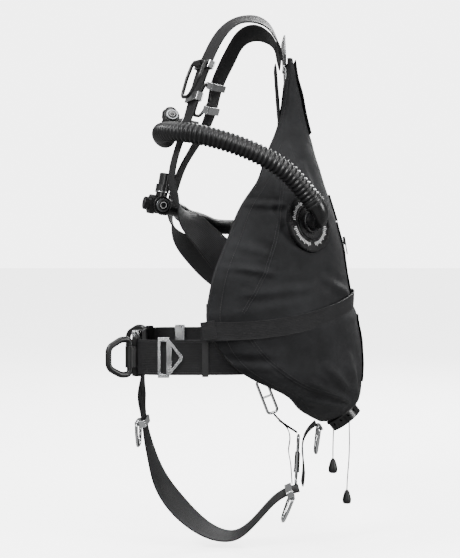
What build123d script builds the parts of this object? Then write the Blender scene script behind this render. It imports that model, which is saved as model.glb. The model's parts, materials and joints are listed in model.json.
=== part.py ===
from build123d import *
import math
import os

# Sidemount buoyancy compensator: a redundant two-cell wing on a webbing harness, held in the shape
# it has when worn. Millimetres. +X points out of the wearer's back, -Y to the wearer's left, +Z up.
# The origin is on the face of the back pad that rests against the wearer's back.

# Driving dimensions
WEB = 50.0  # width of the main harness webbing
WEB_T = 2.4  # its thickness
GAP = 0.15  # gap between pieces that lie against each other
RUN = 0.06  # radial running clearance of hinge bars and guides

# Wing: horizontal crescent sections. Each is (height, inner x, back x, front edge x, half width,
# thickness at the side)
WING = [
    (254, 4, 9, 1, 36, 5),
    (228, 5, 14, 0, 38, 8),
    (200, 6, 20, -3, 42, 10),
    (150, 7, 31, -12, 54, 14),
    (110, 8, 43, -28, 80, 16),
    (70, 9, 55, -42, 112, 18),
    (34, 9, 67, -66, 140, 20),
    (-13, 9, 80, -86, 164, 22),
    (-60, 9, 89, -105, 181, 20),
    (-103, 9, 97, -115, 187, 18),
    (-134, 9, 106, -117, 188, 17),
    (-162, 9, 112, -107, 186, 15),
    (-192, 9, 114, -86, 182, 14),
    (-220, 10, 115, -47, 173, 14),
    (-246, 14, 114, -2, 142, 16),
    (-269, 24, 110, 17, 112, 20),
    (-286, 42, 100, 36, 76, 24),
    (-297, 56, 88, 50, 48, 16),
]
WING_POWER, INNER_POWER = 2.4, 3.0  # exponents of the sections' superellipses
WING_ANGLES = (0, 18, 36, 52, 66, 78, 90)

# Gas ports, one on each side of the wing
PORT = (25.0, 129.0, 4.0)  # centre of the right-hand port
PORT_AXIS = (0.66, 0.72, 0.20)
PORT_R = 42.0
ELBOW_R = 13.0
ELBOW_BORE = 9.5
ELBOW_BEND = 20.0
ELBOW_STEM = 12.0

# Corrugated hoses, drawn as plain tubes at their outer diameter
HOSE_PRIMARY_R = 14.5
HOSE_REDUNDANT_R = 12.5
HOSE_WALL = 2.5
HOSE_LEAD = 22.0  # straight run out of each elbow
HOSE_PRIMARY = [
    (-6, -171, 75.5),
    (-38, -174, 96),
    (-74, -172, 112),
    (-111, -166, 124),
    (-145, -154, 132),
    (-171, -131, 136),
    (-187, -96, 137.5),
    (-191, -54, 138),
    (-192, -8, 137),
    (-191, 38, 137.5),
    (-191, 84, 140.5),
]
HOSE_REDUNDANT = [
    (-23, 201, 4),
    (-57, 208, 0),
    (-87, 196, -2),
    (-107, 168, -1),
    (-118, 133, 1),
    (-124, 96, 4),
    (-131, 60, 7),
    (-140, 25, 10),
    (-149, -8, 12),
]

# Inflators. Each has its centre, its direction from hose to deflate button, and the side that the
# round inflate button faces
INFLATOR_PRIMARY = ((-189.5, 165.2, 176.0), (0.05, 0.55, 0.83), (0.25, -0.80, 0.52))
INFLATOR_REDUNDANT = ((-192.0, -78.0, 30.5), (-0.93, -0.31, 0.17), (0.34, -0.94, 0.0))
HOSE_ENTRY_PRIMARY = (0.0, -0.97, -0.25)  # where the hose leaves to
HOSE_ENTRY_REDUNDANT = (0.29, 0.92, -0.30)
INFLATOR_R = 12.6
BUTTON_TRAVEL = 3.0

# Waist belt loop, seen from above
BELT_BACK, BELT_FRONT = -1.8, -228.0
BELT_LEFT, BELT_RIGHT = -165.0, 140.0
BELT_BACK_R, BELT_FRONT_R = 95.0, 38.0
BELT_Z = -190.0
BELT_TILT = 1.5  # degrees, left side higher

# Dump valves
VALVE_Y = 36.0
VALVE_CENTRE = (81.5, -284.5)  # x and z of the valve's seat face
VALVE_AXIS = (0.61, -0.79)
VALVE_R = 25.5
VALVE_H = 15.0
POPPET_TRAVEL = 3.5
CORD_TRAVEL = 5.0

os.makedirs("parts", exist_ok=True)


def mirrored(point):
    return (point[0], -point[1], point[2])


def unit(direction):
    return Vector(*direction).normalized()


def frame(origin, x_dir, z_dir):
    """Local frame whose Z is z_dir and whose X is as near x_dir as it can be."""
    z = unit(z_dir)
    x = unit(x_dir)
    return Plane(origin=origin, x_dir=(x - z * x.dot(z)).normalized(), z_dir=z)


def group(*solids):
    return Compound(children=[part for solid in solids for part in solid.solids()])


def rod(radius, low, high):
    """Cylinder along local Z from low to high."""
    return Pos(0, 0, (low + high) / 2) * Cylinder(radius, high - low)


def ring(outer, inner, low, high):
    return rod(outer, low, high) - rod(inner, low - 1, high + 1)


def block(x_low, x_high, y_low, y_high, z_low, z_high):
    size = (x_high - x_low, y_high - y_low, z_high - z_low)
    middle = ((x_low + x_high) / 2, (y_low + y_high) / 2, (z_low + z_high) / 2)
    return Pos(*middle) * Box(*size)


def ribbon(stations, width=WEB, thickness=WEB_T):
    """Webbing through stations, each a centre and a direction across the webbing."""
    points = [Vector(*centre) for centre, _ in stations]
    sections = []
    last = len(points) - 1
    for index, (_, across) in enumerate(stations):
        along = points[min(index + 1, last)] - points[max(index - 1, 0)]
        sections.append(frame(points[index], across, along) * Rectangle(width, thickness))
    return loft(sections)


def tube(points, radius, bore=0.0, limp=False):
    """Tube of straight runs joined by tangent arcs as large as the runs allow."""
    route = [point if isinstance(point, Vector) else Vector(*point) for point in points]
    runs = [(b - a) for a, b in zip(route, route[1:])]
    radii = []
    for before, after in zip(runs, runs[1:]):
        turn = math.radians(before.get_angle(after))
        radii.append(0.45 * min(before.length, after.length) / math.tan(turn / 2))
    line = FilletPolyline(*route, radius=radii)
    start = Plane(origin=line @ 0, z_dir=line % 0)
    solid = sweep(start * Circle(radius), path=line)
    if bore:
        solid -= sweep(start * Circle(bore), path=line)
    expected = math.pi * (radius ** 2 - bore ** 2) * line.length
    print(f"tube: length {line.length:.1f}, least radius {min(radii):.1f}, "
          f"volume ratio {solid.volume / expected:.4f}, limp {limp}")
    return solid


def loop_of_wire(corners, radii, wire_r):
    """Closed ring of round wire in the local XY plane."""
    path = FilletPolyline(*corners, radius=radii, close=True)
    return sweep(Plane(origin=path @ 0, z_dir=path % 0) * Circle(wire_r), path=path)


def d_ring(place, half_width, depth, wire_r):
    """D-ring: its straight bar lies on local X through the origin and its bow reaches depth along Y."""
    shoulder = depth * 0.42
    corners = [
        (-half_width, 0),
        (half_width, 0),
        (half_width, shoulder),
        (half_width * 0.58, depth),
        (-half_width * 0.58, depth),
        (-half_width, shoulder),
    ]
    radii = [wire_r * 1.4, wire_r * 1.4, half_width * 0.6, half_width * 0.5, half_width * 0.5, half_width * 0.6]
    return place * loop_of_wire(corners, radii, wire_r)


def webbing_slide(place, width, length):
    """Flat metal sleeve round webbing: local X across the webbing, Z along it."""
    outer = Box(width + 6, WEB_T + 2 * (SLIDE_ROOM + SLIDE_WALL), length)
    outer = fillet(outer.edges().filter_by(Axis.Z), 1.5)
    return place * (outer - Box(width + 1.8, WEB_T + 2 * SLIDE_ROOM, length + 2))


def bar_keeper(place, length, bar_r, depth):
    """Rubber loop round a hinge bar on local X, with a foot that reaches depth along local -Z."""
    foot = block(-length / 2, length / 2, -bar_r - 2, bar_r + 2, -depth, 0)
    barrel = Rot(0, 90, 0) * rod(bar_r + 1.9, -length / 2, length / 2)
    hole = Rot(0, 90, 0) * rod(bar_r + RUN, -length, length)
    return place * ((foot + barrel) - hole)


# ---------------------------------------------------------------- wing


def wing_curve(centre_x, reach, half, power, height):
    """Half of a superellipse opening towards the wearer, from the left tip to the right tip."""
    points = []
    for angle in [-a for a in WING_ANGLES[:0:-1]] + list(WING_ANGLES):
        c = max(math.cos(math.radians(angle)), 0.0)
        s = abs(math.sin(math.radians(angle)))
        y = math.copysign(half * s ** (2 / power), angle)
        points.append((centre_x + reach * c ** (2 / power), y, height))
    return Spline(*points)


def wing_section(station):
    """Crescent face at one height."""
    height, inner_x, back_x, front_x, half, side = station
    outer = wing_curve(front_x, back_x - front_x, half, WING_POWER, height)
    inner = wing_curve(front_x, inner_x - front_x, half - side, INNER_POWER, height)
    ends = [Line(outer @ t, inner @ t) for t in (0, 1)]
    return make_face(Wire([outer.edge(), ends[1].edge(), inner.edge(), ends[0].edge()]))


def wing_surface(height, side):
    """Back surface of the wing: x at a height and a distance from the middle."""
    for upper, lower in zip(WING, WING[1:]):
        if lower[0] <= height <= upper[0]:
            share = (upper[0] - height) / (upper[0] - lower[0])
            back_x, front_x, half = [upper[i] + share * (lower[i] - upper[i]) for i in (2, 3, 4)]
            v = min(abs(side) / half, 1.0)
            return front_x + (back_x - front_x) * (1 - v ** WING_POWER) ** (1 / WING_POWER)
    raise ValueError(height)


def valve_place(side):
    """Frame of a dump valve: local Z out of the wing, local X in the valve's face."""
    x_dir = (-VALVE_AXIS[1], 0, VALVE_AXIS[0])
    return frame((VALVE_CENTRE[0], side * VALVE_Y, VALVE_CENTRE[1]), x_dir, (VALVE_AXIS[0], 0, VALVE_AXIS[1]))


def port_place(side):
    centre = PORT if side > 0 else mirrored(PORT)
    axis = PORT_AXIS if side > 0 else mirrored(PORT_AXIS)
    return frame(centre, (0, 0, 1), axis)


def build_wing():
    """Outer shell of the wing, filled by its two air cells."""
    shell = loft([wing_section(station) for station in WING])
    for side in (-1, 1):
        shell = shell - port_place(side) * (rod(PORT_R + GAP, -3, 40) + rod(19.0 + GAP, -16, 0))
        shell = shell - valve_place(side) * (rod(VALVE_R + 1.5 + GAP, -0.5, 60) + rod(19.0 + GAP, -13 - GAP, 0))
    return {"wing_outer_shell": max(shell.solids(), key=lambda solid: solid.volume)}


def surface_ribbon(path, width, thickness, across, lift):
    """Webbing lying on the wing: path is a list of (height, side)."""
    stations = []
    for height, side in path:
        x = wing_surface(height, side) + lift
        stations.append(((x, side, height), across))
    return ribbon(stations, width, thickness)


def build_back_trim():
    across = (0, 1, 0)
    cover = ribbon([((12.5, 0, 252), across), ((19.5, 0, 222), across), ((29.0, 0, 182), across),
                    ((38.5, 0, 142), across)], WEB, 2.0)
    tab = ribbon([((66, 0, 48), across), ((73, 0, 28), across), ((78.5, 0, 8), across)], WEB, 2.0)
    zipper = surface_ribbon([(6, -38), (-30, -36), (-65, -34), (-98, -34)], 24, 1.0, across, 3.0)
    lower = surface_ribbon([(-134, -34), (-162, -34), (-198, -34), (-236, -34)], 24, 1.0, across, 3.0)
    puller_at = (wing_surface(-22, -37) + 5.8, -37, -22)
    puller = frame(puller_at, (0, 1, 0), (0.18, 0, -1)) * (Box(9, 3.2, 12) + Pos(0, 0.8, 13) * Box(5, 1.4, 16))
    return {"back_cover_straps": group(cover, tab), "zipper_tapes": group(zipper, lower), "zipper_slider": puller}


BAND_Z_BACK, BAND_Z_FRONT = -110.0, -147.0
BAND_ANGLES = (0, 12, 26, 40, 52, 63, 72, 80, 87)


def band_station(angle, side, lift):
    """Point on the wing's outer surface at a section angle, sloping down towards the front."""
    height = BAND_Z_BACK + (BAND_Z_FRONT - BAND_Z_BACK) * math.sin(math.radians(angle)) ** 2
    for upper, lower in zip(WING, WING[1:]):
        if lower[0] <= height <= upper[0]:
            share = (upper[0] - height) / (upper[0] - lower[0])
            back_x, front_x, half = [upper[i] + share * (lower[i] - upper[i]) for i in (2, 3, 4)]
    reach = back_x - front_x
    u = math.cos(math.radians(angle)) ** (2 / WING_POWER)
    v = math.sin(math.radians(angle)) ** (2 / WING_POWER)
    normal = Vector(u ** (WING_POWER - 1) / reach, v ** (WING_POWER - 1) / half, 0).normalized()
    point = Vector(front_x + reach * u, half * v, height) + normal * lift
    return ((point.X, side * point.Y, point.Z), (0.08, 0, 1))


def build_wing_band():
    """Webbing band round the wing, with a stitched-back end past each front edge."""
    lift = 6.4
    right = [band_station(angle, 1, lift) for angle in BAND_ANGLES]
    right.append(((-129.0, 189.0, -147.5), (0.08, 0, 1)))
    left = [band_station(angle, -1, lift) for angle in BAND_ANGLES[1:]]
    left.append(((-129.0, -189.0, -147.5), (0.08, 0, 1)))
    return {"wing_band": ribbon(left[::-1] + right, 26.0, 2.0)}


# ---------------------------------------------------------------- pads and plates


def build_back():
    profile = Polyline((0, -104), (0, 62), (-12.5, 134), (-21, 246), (-17, 247), (-8, 134), (5, 62), (5, -104),
                       close=True)
    outline = Polyline((-58, -108), (58, -108), (58, 30), (35, 104), (33, 250), (-33, 250), (-35, 104), (-58, 30),
                       close=True)
    pad = extrude(Plane.XZ * make_face(profile), amount=60, both=True)
    pad = pad & extrude(Plane.YZ * make_face(outline), amount=40, both=True)
    plate_side = Polyline((-7.6, 286), (-5.0, 286), (2.0, 152), (-0.6, 152), close=True)
    plate_front = Polyline((-46, 286), (46, 286), (46, 257), (27, 240), (27, 150), (-27, 150), (-27, 240), (-46, 257),
                           close=True)
    upper = extrude(Plane.XZ * make_face(plate_side), amount=50, both=True)
    upper = upper & extrude(Plane.YZ * make_face(plate_front), amount=40, both=True)
    lumbar = block(0, 3, -56, 56, -216, -111)
    lumbar = fillet(lumbar.edges().filter_by(Axis.X), 12)
    for y in (-48, 48):
        lumbar = lumbar - Pos(1.5, y, -190) * Box(8, 5, 52)
    places = [(y, z) for y in (-12, 12) for z in (-152, -126)]
    holes = [Pos(1.5, y, z) * (Rot(0, 90, 0) * Cylinder(3.1, 8)) for y, z in places]
    for hole in holes:
        lumbar = lumbar - hole
    spine = block(4.0, 6.4, -WEB / 2, WEB / 2, -208, -136)
    screws = []
    for y, z in places:
        screws.append(Pos(0, y, z) * Rot(0, 90, 0) * (rod(3.0, 0, 4.0 - GAP) + rod(5.0, -1.6, 0)))
    for z in (241, 166):
        for y in (-19, 19):
            x = -7.6 + (286 - z) * 7.0 / 134
            screws.append(frame((x, y, z), (0, 1, 0), (-1, 0, -0.052)) * rod(4.0, GAP, 1.8))
    return {"back_pad": pad, "shoulder_plate": upper, "lumbar_plate": lumbar, "spine_strap": spine,
            "plate_screws": group(*screws)}


# ---------------------------------------------------------------- shoulder harness

# Centre line of each shoulder strap with the direction across the webbing
LEFT_STRAP = [
    ((-9.5, -33, 250), (0, 1, 0.1)),
    ((-14.0, -37, 270), (0, 0.98, 0.15)),
    ((-28.0, -50, 295), (0.1, 0.95, 0.25)),
    ((-50.0, -64, 305), (0.05, 0.93, 0.33)),
    ((-76.0, -73, 302), (-0.1, 0.94, 0.33)),
    ((-99.0, -82, 284), (-0.3, 0.92, 0.2)),
    ((-114.5, -88, 258), (-0.36, 0.92, 0.1)),
    ((-125.0, -91.5, 234), (-0.36, 0.92, 0.1)),
    ((-133.5, -93.5, 210), (-0.34, 0.93, 0.1)),
    ((-140.5, -95.5, 187), (-0.3, 0.95, 0.08)),
    ((-148.5, -98, 160), (-0.26, 0.95, 0.08)),
    ((-160.0, -101, 125), (-0.22, 0.97, 0.05)),
    ((-170.5, -108, 88), (-0.22, 0.97, 0)),
    ((-172.0, -114, 62), (-0.2, 0.96, -0.1)),
    ((-166.0, -121, 40), (-0.1, 0.9, -0.35)),
    ((-148.0, -127, 12), (0.15, 0.8, 0.55)),
    ((-126.0, -131, -13), (0.4, 0.66, 0.6)),
    ((-104.0, -132, -37), (0.52, 0.45, 0.7)),
    ((-72.0, -129, -72), (0.6, 0.3, 0.7)),
    ((-40.0, -112, -102), (0.45, 0.5, 0.7)),
    ((-20.0, -84, -123), (0.1, 0.4, 0.9)),
    ((-7.5, -58, -133), (0, 0.28, 0.96)),
    ((-4.6, -34, -139), (0, 0.2, 0.98)),
]
RIGHT_STRAP = [
    ((-9.5, 33, 250), (0, 1, -0.1)),
    ((-14.0, 37, 271), (0, 0.98, -0.15)),
    ((-26.0, 50, 296), (0.1, 0.95, -0.25)),
    ((-47.0, 62, 306), (0.05, 0.93, -0.33)),
    ((-70.0, 73, 298), (0.1, 0.94, -0.33)),
    ((-89.0, 82, 270), (0.3, 0.92, -0.2)),
    ((-101.0, 87, 246), (0.34, 0.92, -0.1)),
    ((-110.0, 91, 224), (0.32, 0.93, -0.1)),
    ((-114.5, 93.5, 205), (0.3, 0.94, -0.1)),
    ((-118.5, 96, 187), (0.26, 0.95, -0.08)),
    ((-126.0, 99, 166), (0.22, 0.96, -0.06)),
    ((-143.0, 103, 134), (0.16, 0.97, -0.03)),
    ((-165.0, 107, 97), (0.14, 0.98, 0)),
    ((-181.0, 112, 54), (0.2, 0.96, 0.1)),
    ((-186.0, 119, 20), (0.1, 0.95, 0.2)),
    ((-173.0, 127, -16), (-0.2, 0.86, -0.4)),
    ((-146.0, 132, -46), (-0.45, 0.6, -0.6)),
    ((-112.0, 132, -76), (-0.6, 0.4, -0.65)),
    ((-76.0, 125, -98), (-0.5, 0.4, -0.7)),
    ((-44.0, 110, -112), (-0.4, 0.5, -0.7)),
    ((-20.0, 84, -123), (-0.1, 0.4, -0.9)),
    ((-7.5, 58, -133), (0, 0.28, -0.96)),
    ((-4.6, 34, -139), (0, 0.2, -0.98)),
]
SHOULDER_BAR_R = 2.6
SLIDE_ROOM = 2.0  # between webbing and slide
SLIDE_WALL = 2.0
UPPER_SLIDE, LOWER_SLIDE = 7, 9  # stations of the shoulder straps


def strap_place(strap, index):
    """Frame on a strap at a station: X across, Z along, Y through the webbing."""
    before, after = strap[max(index - 1, 0)][0], strap[min(index + 1, len(strap) - 1)][0]
    return frame(strap[index][0], strap[index][1], Vector(*after) - Vector(*before))


def ring_on_slide(at, front, bar_r, ring_direction, half_width, depth, keeper_length):
    """Keeper on the front of a slide at frame at, and the D-ring that hinges in it."""
    height = WEB_T / 2 + SLIDE_ROOM + SLIDE_WALL + GAP
    centre = at.origin + front * (height + bar_r + 2.0)
    keeper = bar_keeper(frame(centre, at.x_dir, front), keeper_length, bar_r, bar_r + 2.0)
    place = Plane(origin=centre, x_dir=at.x_dir, z_dir=at.x_dir.cross(unit(ring_direction)).normalized())
    return keeper, d_ring(place, half_width, depth, bar_r), centre


def build_shoulders():
    straps = {"shoulder_strap_left": ribbon(LEFT_STRAP), "shoulder_strap_right": ribbon(RIGHT_STRAP)}
    slides, keepers, rings = [], [], {}
    for name, strap, direction in (("left", LEFT_STRAP, (-0.40, -0.02, -0.915)),
                                   ("right", RIGHT_STRAP, (-0.50, 0.02, -0.86))):
        at = strap_place(strap, UPPER_SLIDE)
        slides.append(webbing_slide(at, WEB, 11))
        slides.append(webbing_slide(strap_place(strap, LOWER_SLIDE), WEB, 12))
        front = at.y_dir if at.y_dir.X < 0 else at.y_dir * -1
        keeper, ring, centre = ring_on_slide(at, front, SHOULDER_BAR_R, direction, 25.5, 54, 30)
        keepers.append(keeper)
        rings[f"shoulder_d_ring_{name}"] = ring
        print(name, "shoulder ring hinge", centre, at.x_dir)
    return {**straps, "shoulder_slides": group(*slides), "shoulder_ring_keepers": group(*keepers), **rings}


# ---------------------------------------------------------------- waist belt

BELT_PLACE = Plane(origin=(0, 0, BELT_Z), x_dir=(1, 0, 0),
                   z_dir=(0, math.sin(math.radians(BELT_TILT)), math.cos(math.radians(BELT_TILT))))


def belt_outline(offset):
    """Belt loop seen from above, moved out by offset."""
    back, front = BELT_BACK + offset, BELT_FRONT - offset
    left, right = BELT_LEFT - offset, BELT_RIGHT + offset
    corners = [(back, 0), (back, left), (front, left), (front, right), (back, right)]
    radii = [0, BELT_BACK_R + offset, BELT_FRONT_R + offset, BELT_FRONT_R + offset, BELT_BACK_R + offset]
    return make_face(FilletPolyline(*corners[1:], radius=radii[1:], close=True))


def belt_point(kind, value, offset=0.0):
    """Frame on the belt: X outward, Y along the belt, Z up. kind is left, right or a front corner."""
    if kind in ("left", "right"):
        side = -1 if kind == "left" else 1
        y = (BELT_LEFT if side < 0 else BELT_RIGHT) + side * offset
        local = Plane(origin=(value, y, 0), x_dir=(0, side, 0), z_dir=(0, 0, 1))
    else:
        side = -1 if kind == "corner_left" else 1
        centre_x = BELT_FRONT + BELT_FRONT_R
        centre_y = (BELT_LEFT if side < 0 else BELT_RIGHT) - side * BELT_FRONT_R
        out = (-math.cos(math.radians(value)), side * math.sin(math.radians(value)))
        reach = BELT_FRONT_R + offset
        local = Plane(origin=(centre_x + out[0] * reach, centre_y + out[1] * reach, 0),
                      x_dir=(out[0], out[1], 0), z_dir=(0, 0, 1))
    return BELT_PLACE.location * local.location


BELT_BAR_R = 4.4
BELT_RING_ANGLE = 33.0
BELT_BAR_OUT = 10.5
BUCKLE_Y = -26.0  # centre of the buckle on the front run


def belt_sleeve(place, length, height, wall, room):
    """Loop round the belt: local X outward, Y along, Z up."""
    outer = Box(WEB_T + 2 * (room + wall), length, height)
    return place * (outer - Box(WEB_T + 2 * room, length + 2, WEB + 1.2))


def triangle_slide(place):
    """Flat slide round the belt with a triangular lug that points towards the back."""
    lug = make_face(Polyline((8, -26), (8, 26), (27, 3), (27, -3), close=True))
    hole = make_face(Polyline((11.5, -16), (11.5, 16), (22, 2), (22, -2), close=True))
    plate = extrude(lug - hole, amount=2.2)
    lay = Plane(origin=(WEB_T / 2 + 1.0, 0, 0), x_dir=(0, 1, 0), z_dir=(1, 0, 0))
    sleeve = Box(WEB_T + 6.4, 16, WEB + 7) - Box(WEB_T + 2.0, 20, WEB + 1.2)
    window = Pos(WEB_T / 2 + 2.5, 0, 0) * Box(4, 8.5, WEB - 4)
    return place * ((sleeve - window) + lay * plate)


def build_belt():
    belt = extrude(belt_outline(WEB_T / 2) - belt_outline(-WEB_T / 2), amount=WEB / 2, both=True)
    gap = block(BELT_FRONT - 10, BELT_FRONT + 10, BUCKLE_Y - 16, BUCKLE_Y + 16, -30, 30)
    belt = BELT_PLACE * (belt - gap)
    slides = [triangle_slide(belt_point("left", -182.0)), triangle_slide(belt_point("right", -172.0) * Rot(180, 0, 0))]
    keepers = [belt_sleeve(belt_point("left", -123.0), 9, WEB + 5, 1.2, 0.6),
               belt_sleeve(belt_point("right", -120.0), 9, WEB + 5, 1.2, 0.6)]
    mounts, rings = [], {}
    for name, angle in (("left", BELT_RING_ANGLE), ("right", BELT_RING_ANGLE)):
        place = belt_point(f"corner_{name}", angle)
        sleeve = Box(WEB_T + 5.2, 12, WEB + 6) - Box(WEB_T + 2.4, 14, WEB + 1.2)
        foot = block(WEB_T / 2 + 1.2, BELT_BAR_OUT, -BELT_BAR_R - 1.5, BELT_BAR_R + 1.5, -15, 15)
        barrel = Pos(BELT_BAR_OUT, 0, 0) * rod(BELT_BAR_R + 2.2, -15, 15)
        hole = Pos(BELT_BAR_OUT, 0, 0) * rod(BELT_BAR_R + RUN, -40, 40)
        mounts.append(place * (sleeve + (foot + barrel) - hole))
        bar = place * Pos(BELT_BAR_OUT, 0, 0)
        ring_place = Plane(bar * Location(Plane(origin=(0, 0, 0), x_dir=(0, 0, 1), z_dir=(0, 1, 0))))
        if ring_place.y_dir.X > 0:
            ring_place = Plane(origin=ring_place.origin, x_dir=ring_place.x_dir * -1, z_dir=ring_place.z_dir)
        rings[f"belt_d_ring_{name}"] = d_ring(ring_place, 25.0, 34, BELT_BAR_R)
        print(name, "belt ring hinge", ring_place.origin, ring_place.x_dir)
    return {"waist_belt": belt, "belt_triangle_slides": group(*slides), "belt_keeper_loops": group(*keepers),
            "belt_ring_mounts": group(*mounts), **rings}


def build_buckle():
    """Cam buckle in the gap of the belt's front run: a frame with side cheeks and a hinged lever."""
    place = BELT_PLACE.location * Pos(BELT_FRONT, BUCKLE_Y, 0)
    base = block(-1.2, 1.2, -16 + GAP, 16 - GAP, -30, 30)
    window = block(-4, 4, -9, 5, -25.5, 25.5)
    cheeks = [block(-9, 1.2, -15, 15, z - 1.1, z + 1.1) for z in (-28.9, 28.9)]
    body = base - window
    for cheek in cheeks:
        body = body + cheek
    pin = Pos(-5.6, -8, 0) * rod(2.0, -30, 30)
    body = body + pin
    lever = block(-9.4, -6.8, -10.5, 17, -27.4, 27.4) + Pos(-5.6, -8, 0) * rod(3.8, -27.4, 27.4)
    cam = block(-5.6, -2.2, -8, -4.4, -25, 25)
    lever = (lever + cam) - Pos(-5.6, -8, 0) * rod(2.0 + RUN, -31, 31)
    print("buckle hinge", (place * Pos(-5.6, -8, 0)).position)
    return {"buckle_frame": place * body, "buckle_lever": place * lever}


# ---------------------------------------------------------------- crotch strap and tail hardware

CROTCH_STRAP = [
    ((-223.6, 6, -219), (0, 1, 0)),
    ((-224.5, 3, -240), (0.05, 1, 0)),
    ((-225.5, 0, -262), (0.15, 0.97, 0)),
    ((-224.0, 0, -284), (0.08, 0.98, 0)),
    ((-221.5, 0, -304), (0.05, 0.99, 0)),
    ((-217.0, 0, -330), (0.1, 0.97, 0)),
    ((-209.0, 0, -362), (0.2, 0.95, 0)),
    ((-197.0, 0, -396), (0.34, 0.92, 0.1)),
    ((-175.0, 0, -430), (0.38, 0.88, 0.25)),
    ((-143.0, 0, -462), (0.22, 0.92, 0.28)),
    ((-108.0, 0, -482), (0.06, 0.98, 0.16)),
    ((-81.0, 0, -484), (0, 0.99, 0.05)),
    ((-54.0, 0, -466), (0, 1, 0)),
    ((-34.0, 0, -444), (0, 1, 0)),
    ((-14.0, 0, -424), (0, 1, 0)),
    ((5.0, 0, -413.5), (0, 1, 0)),
    ((20.0, 0, -409), (0, 1, 0)),
]
CROTCH_FRONT, CROTCH_REAR = 4, 15  # stations that carry a slide
TAIL_STRAP = [
    ((25.0, 0, -403), (0, 1, 0)),
    ((27.0, 0, -386), (0, 1, 0)),
    ((26.0, 0, -360), (0.05, 1, 0)),
    ((25.5, 0, -338), (0.08, 1, 0)),
    ((33.0, 0, -319), (0.08, 1, 0)),
    ((46.0, 0, -306), (0, 1, 0)),
]
STEEL_R = 2.5


def build_crotch():
    crotch = ribbon(CROTCH_STRAP)
    loop = BELT_PLACE.location * Pos(BELT_FRONT, 6, 0)
    head = loop * (Box(WEB_T + 6.0, 26, WEB + 6.0) - Box(WEB_T + 1.2, 30, WEB + 1.2))
    tail = ribbon(TAIL_STRAP, 38)
    parts, hardware = {}, []
    for name, index, direction, depth in (("front", CROTCH_FRONT, (0.02, 0, -1), 36),
                                          ("rear", CROTCH_REAR, (-0.36, 0, -0.93), 40)):
        at = strap_place(CROTCH_STRAP, index)
        front = at.y_dir if at.y_dir.X + at.y_dir.Z < 0 else at.y_dir * -1
        keeper, ring, centre = ring_on_slide(at, front, STEEL_R, direction, 24, depth, 26)
        hardware.extend((webbing_slide(at, WEB, 11), keeper))
        parts[f"crotch_{name}_d_ring"] = ring
        print(name, "crotch ring hinge", centre, at.x_dir)
    tail_bar = Vector(50.5, 0, -313.0)
    hardware.append(bar_keeper(Plane(origin=tail_bar, x_dir=(0, 1, 0), z_dir=(-0.5, 0, 0.866)), 22, STEEL_R, 5.0))
    tail_ring = d_ring(hanging(tail_bar, (-0.12, 0, -0.99)), 20, 40, STEEL_R)
    return {"crotch_strap": crotch + head, "tail_strap": tail, "crotch_slides": group(*hardware), **parts,
            "tail_d_ring": tail_ring}


def hanging(centre, direction):
    """Frame of a ring whose bar runs along +Y and whose bow hangs along direction."""
    down = unit(direction)
    across = Vector(0, 1, 0)
    return Plane(origin=centre, x_dir=across, z_dir=across.cross(down))


LINK_TOP = Vector(-40.0, 0, -240.0)
LINK_AXIS = unit((0.36, 0, -0.93))
LINK_LENGTH = 54.0
SNAP_TOP = (19.5, 0.0, -322.0)
SNAP_EYE = (15.0, 0.0, -398.0)


def build_tail_link():
    """Steel link below the lumbar plate, with the narrow webbing that ties it to plate and bolt snap."""
    face = Plane(origin=LINK_TOP, x_dir=(0.93, 0, 0.36), z_dir=(0, 1, 0))
    side = -1 if face.y_dir.dot(LINK_AXIS) < 0 else 1
    corners = [(-8, 0), (8, 0), (8, side * LINK_LENGTH), (-8, side * LINK_LENGTH)]
    link = face * loop_of_wire(corners, [5] * 4, 2.2)
    bar = face * (Pos(0, side * 27, 0) * Rot(0, 90, 0) * rod(1.8, -8, 8))
    top, foot = LINK_TOP, LINK_TOP + LINK_AXIS * LINK_LENGTH
    anchor = ribbon([((-1.6, 0, -219.0), (0, 1, 0)), ((-14, 0, -226), (0, 1, 0)), ((-28, 0, -231), (0, 1, 0)),
                     (tuple(top + Vector(3.0, 0, 5.0)), (0, 1, 0))], 20, 2.0)
    link_end = foot + LINK_AXIS * 2.6
    lower = ribbon([(tuple(link_end), (0, 1, 0)), ((-7, 0, -305.5), (0, 1, 0)), ((8, 0, -316), (0, 1, 0)),
                    ((16.6, 0, -321.5), (0, 1, 0))], 14, 2.0)
    loose = ribbon([((-12, 0, -303), (0, 1, 0)), ((0, 0, -313), (0, 1, 0)), ((5.5, 0, -332), (0, 1, 0)),
                    ((3.5, 0, -349), (0.1, 1, 0)), ((6.0, 0, -366), (0.1, 1, 0)), ((8.0, 0, -386), (0, 1, 0)),
                    ((9.0, 0, -402), (0, 1, 0))], 9, 1.6)
    return {"link_frame": link + bar, "link_straps": group(anchor, lower, loose)}


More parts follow.
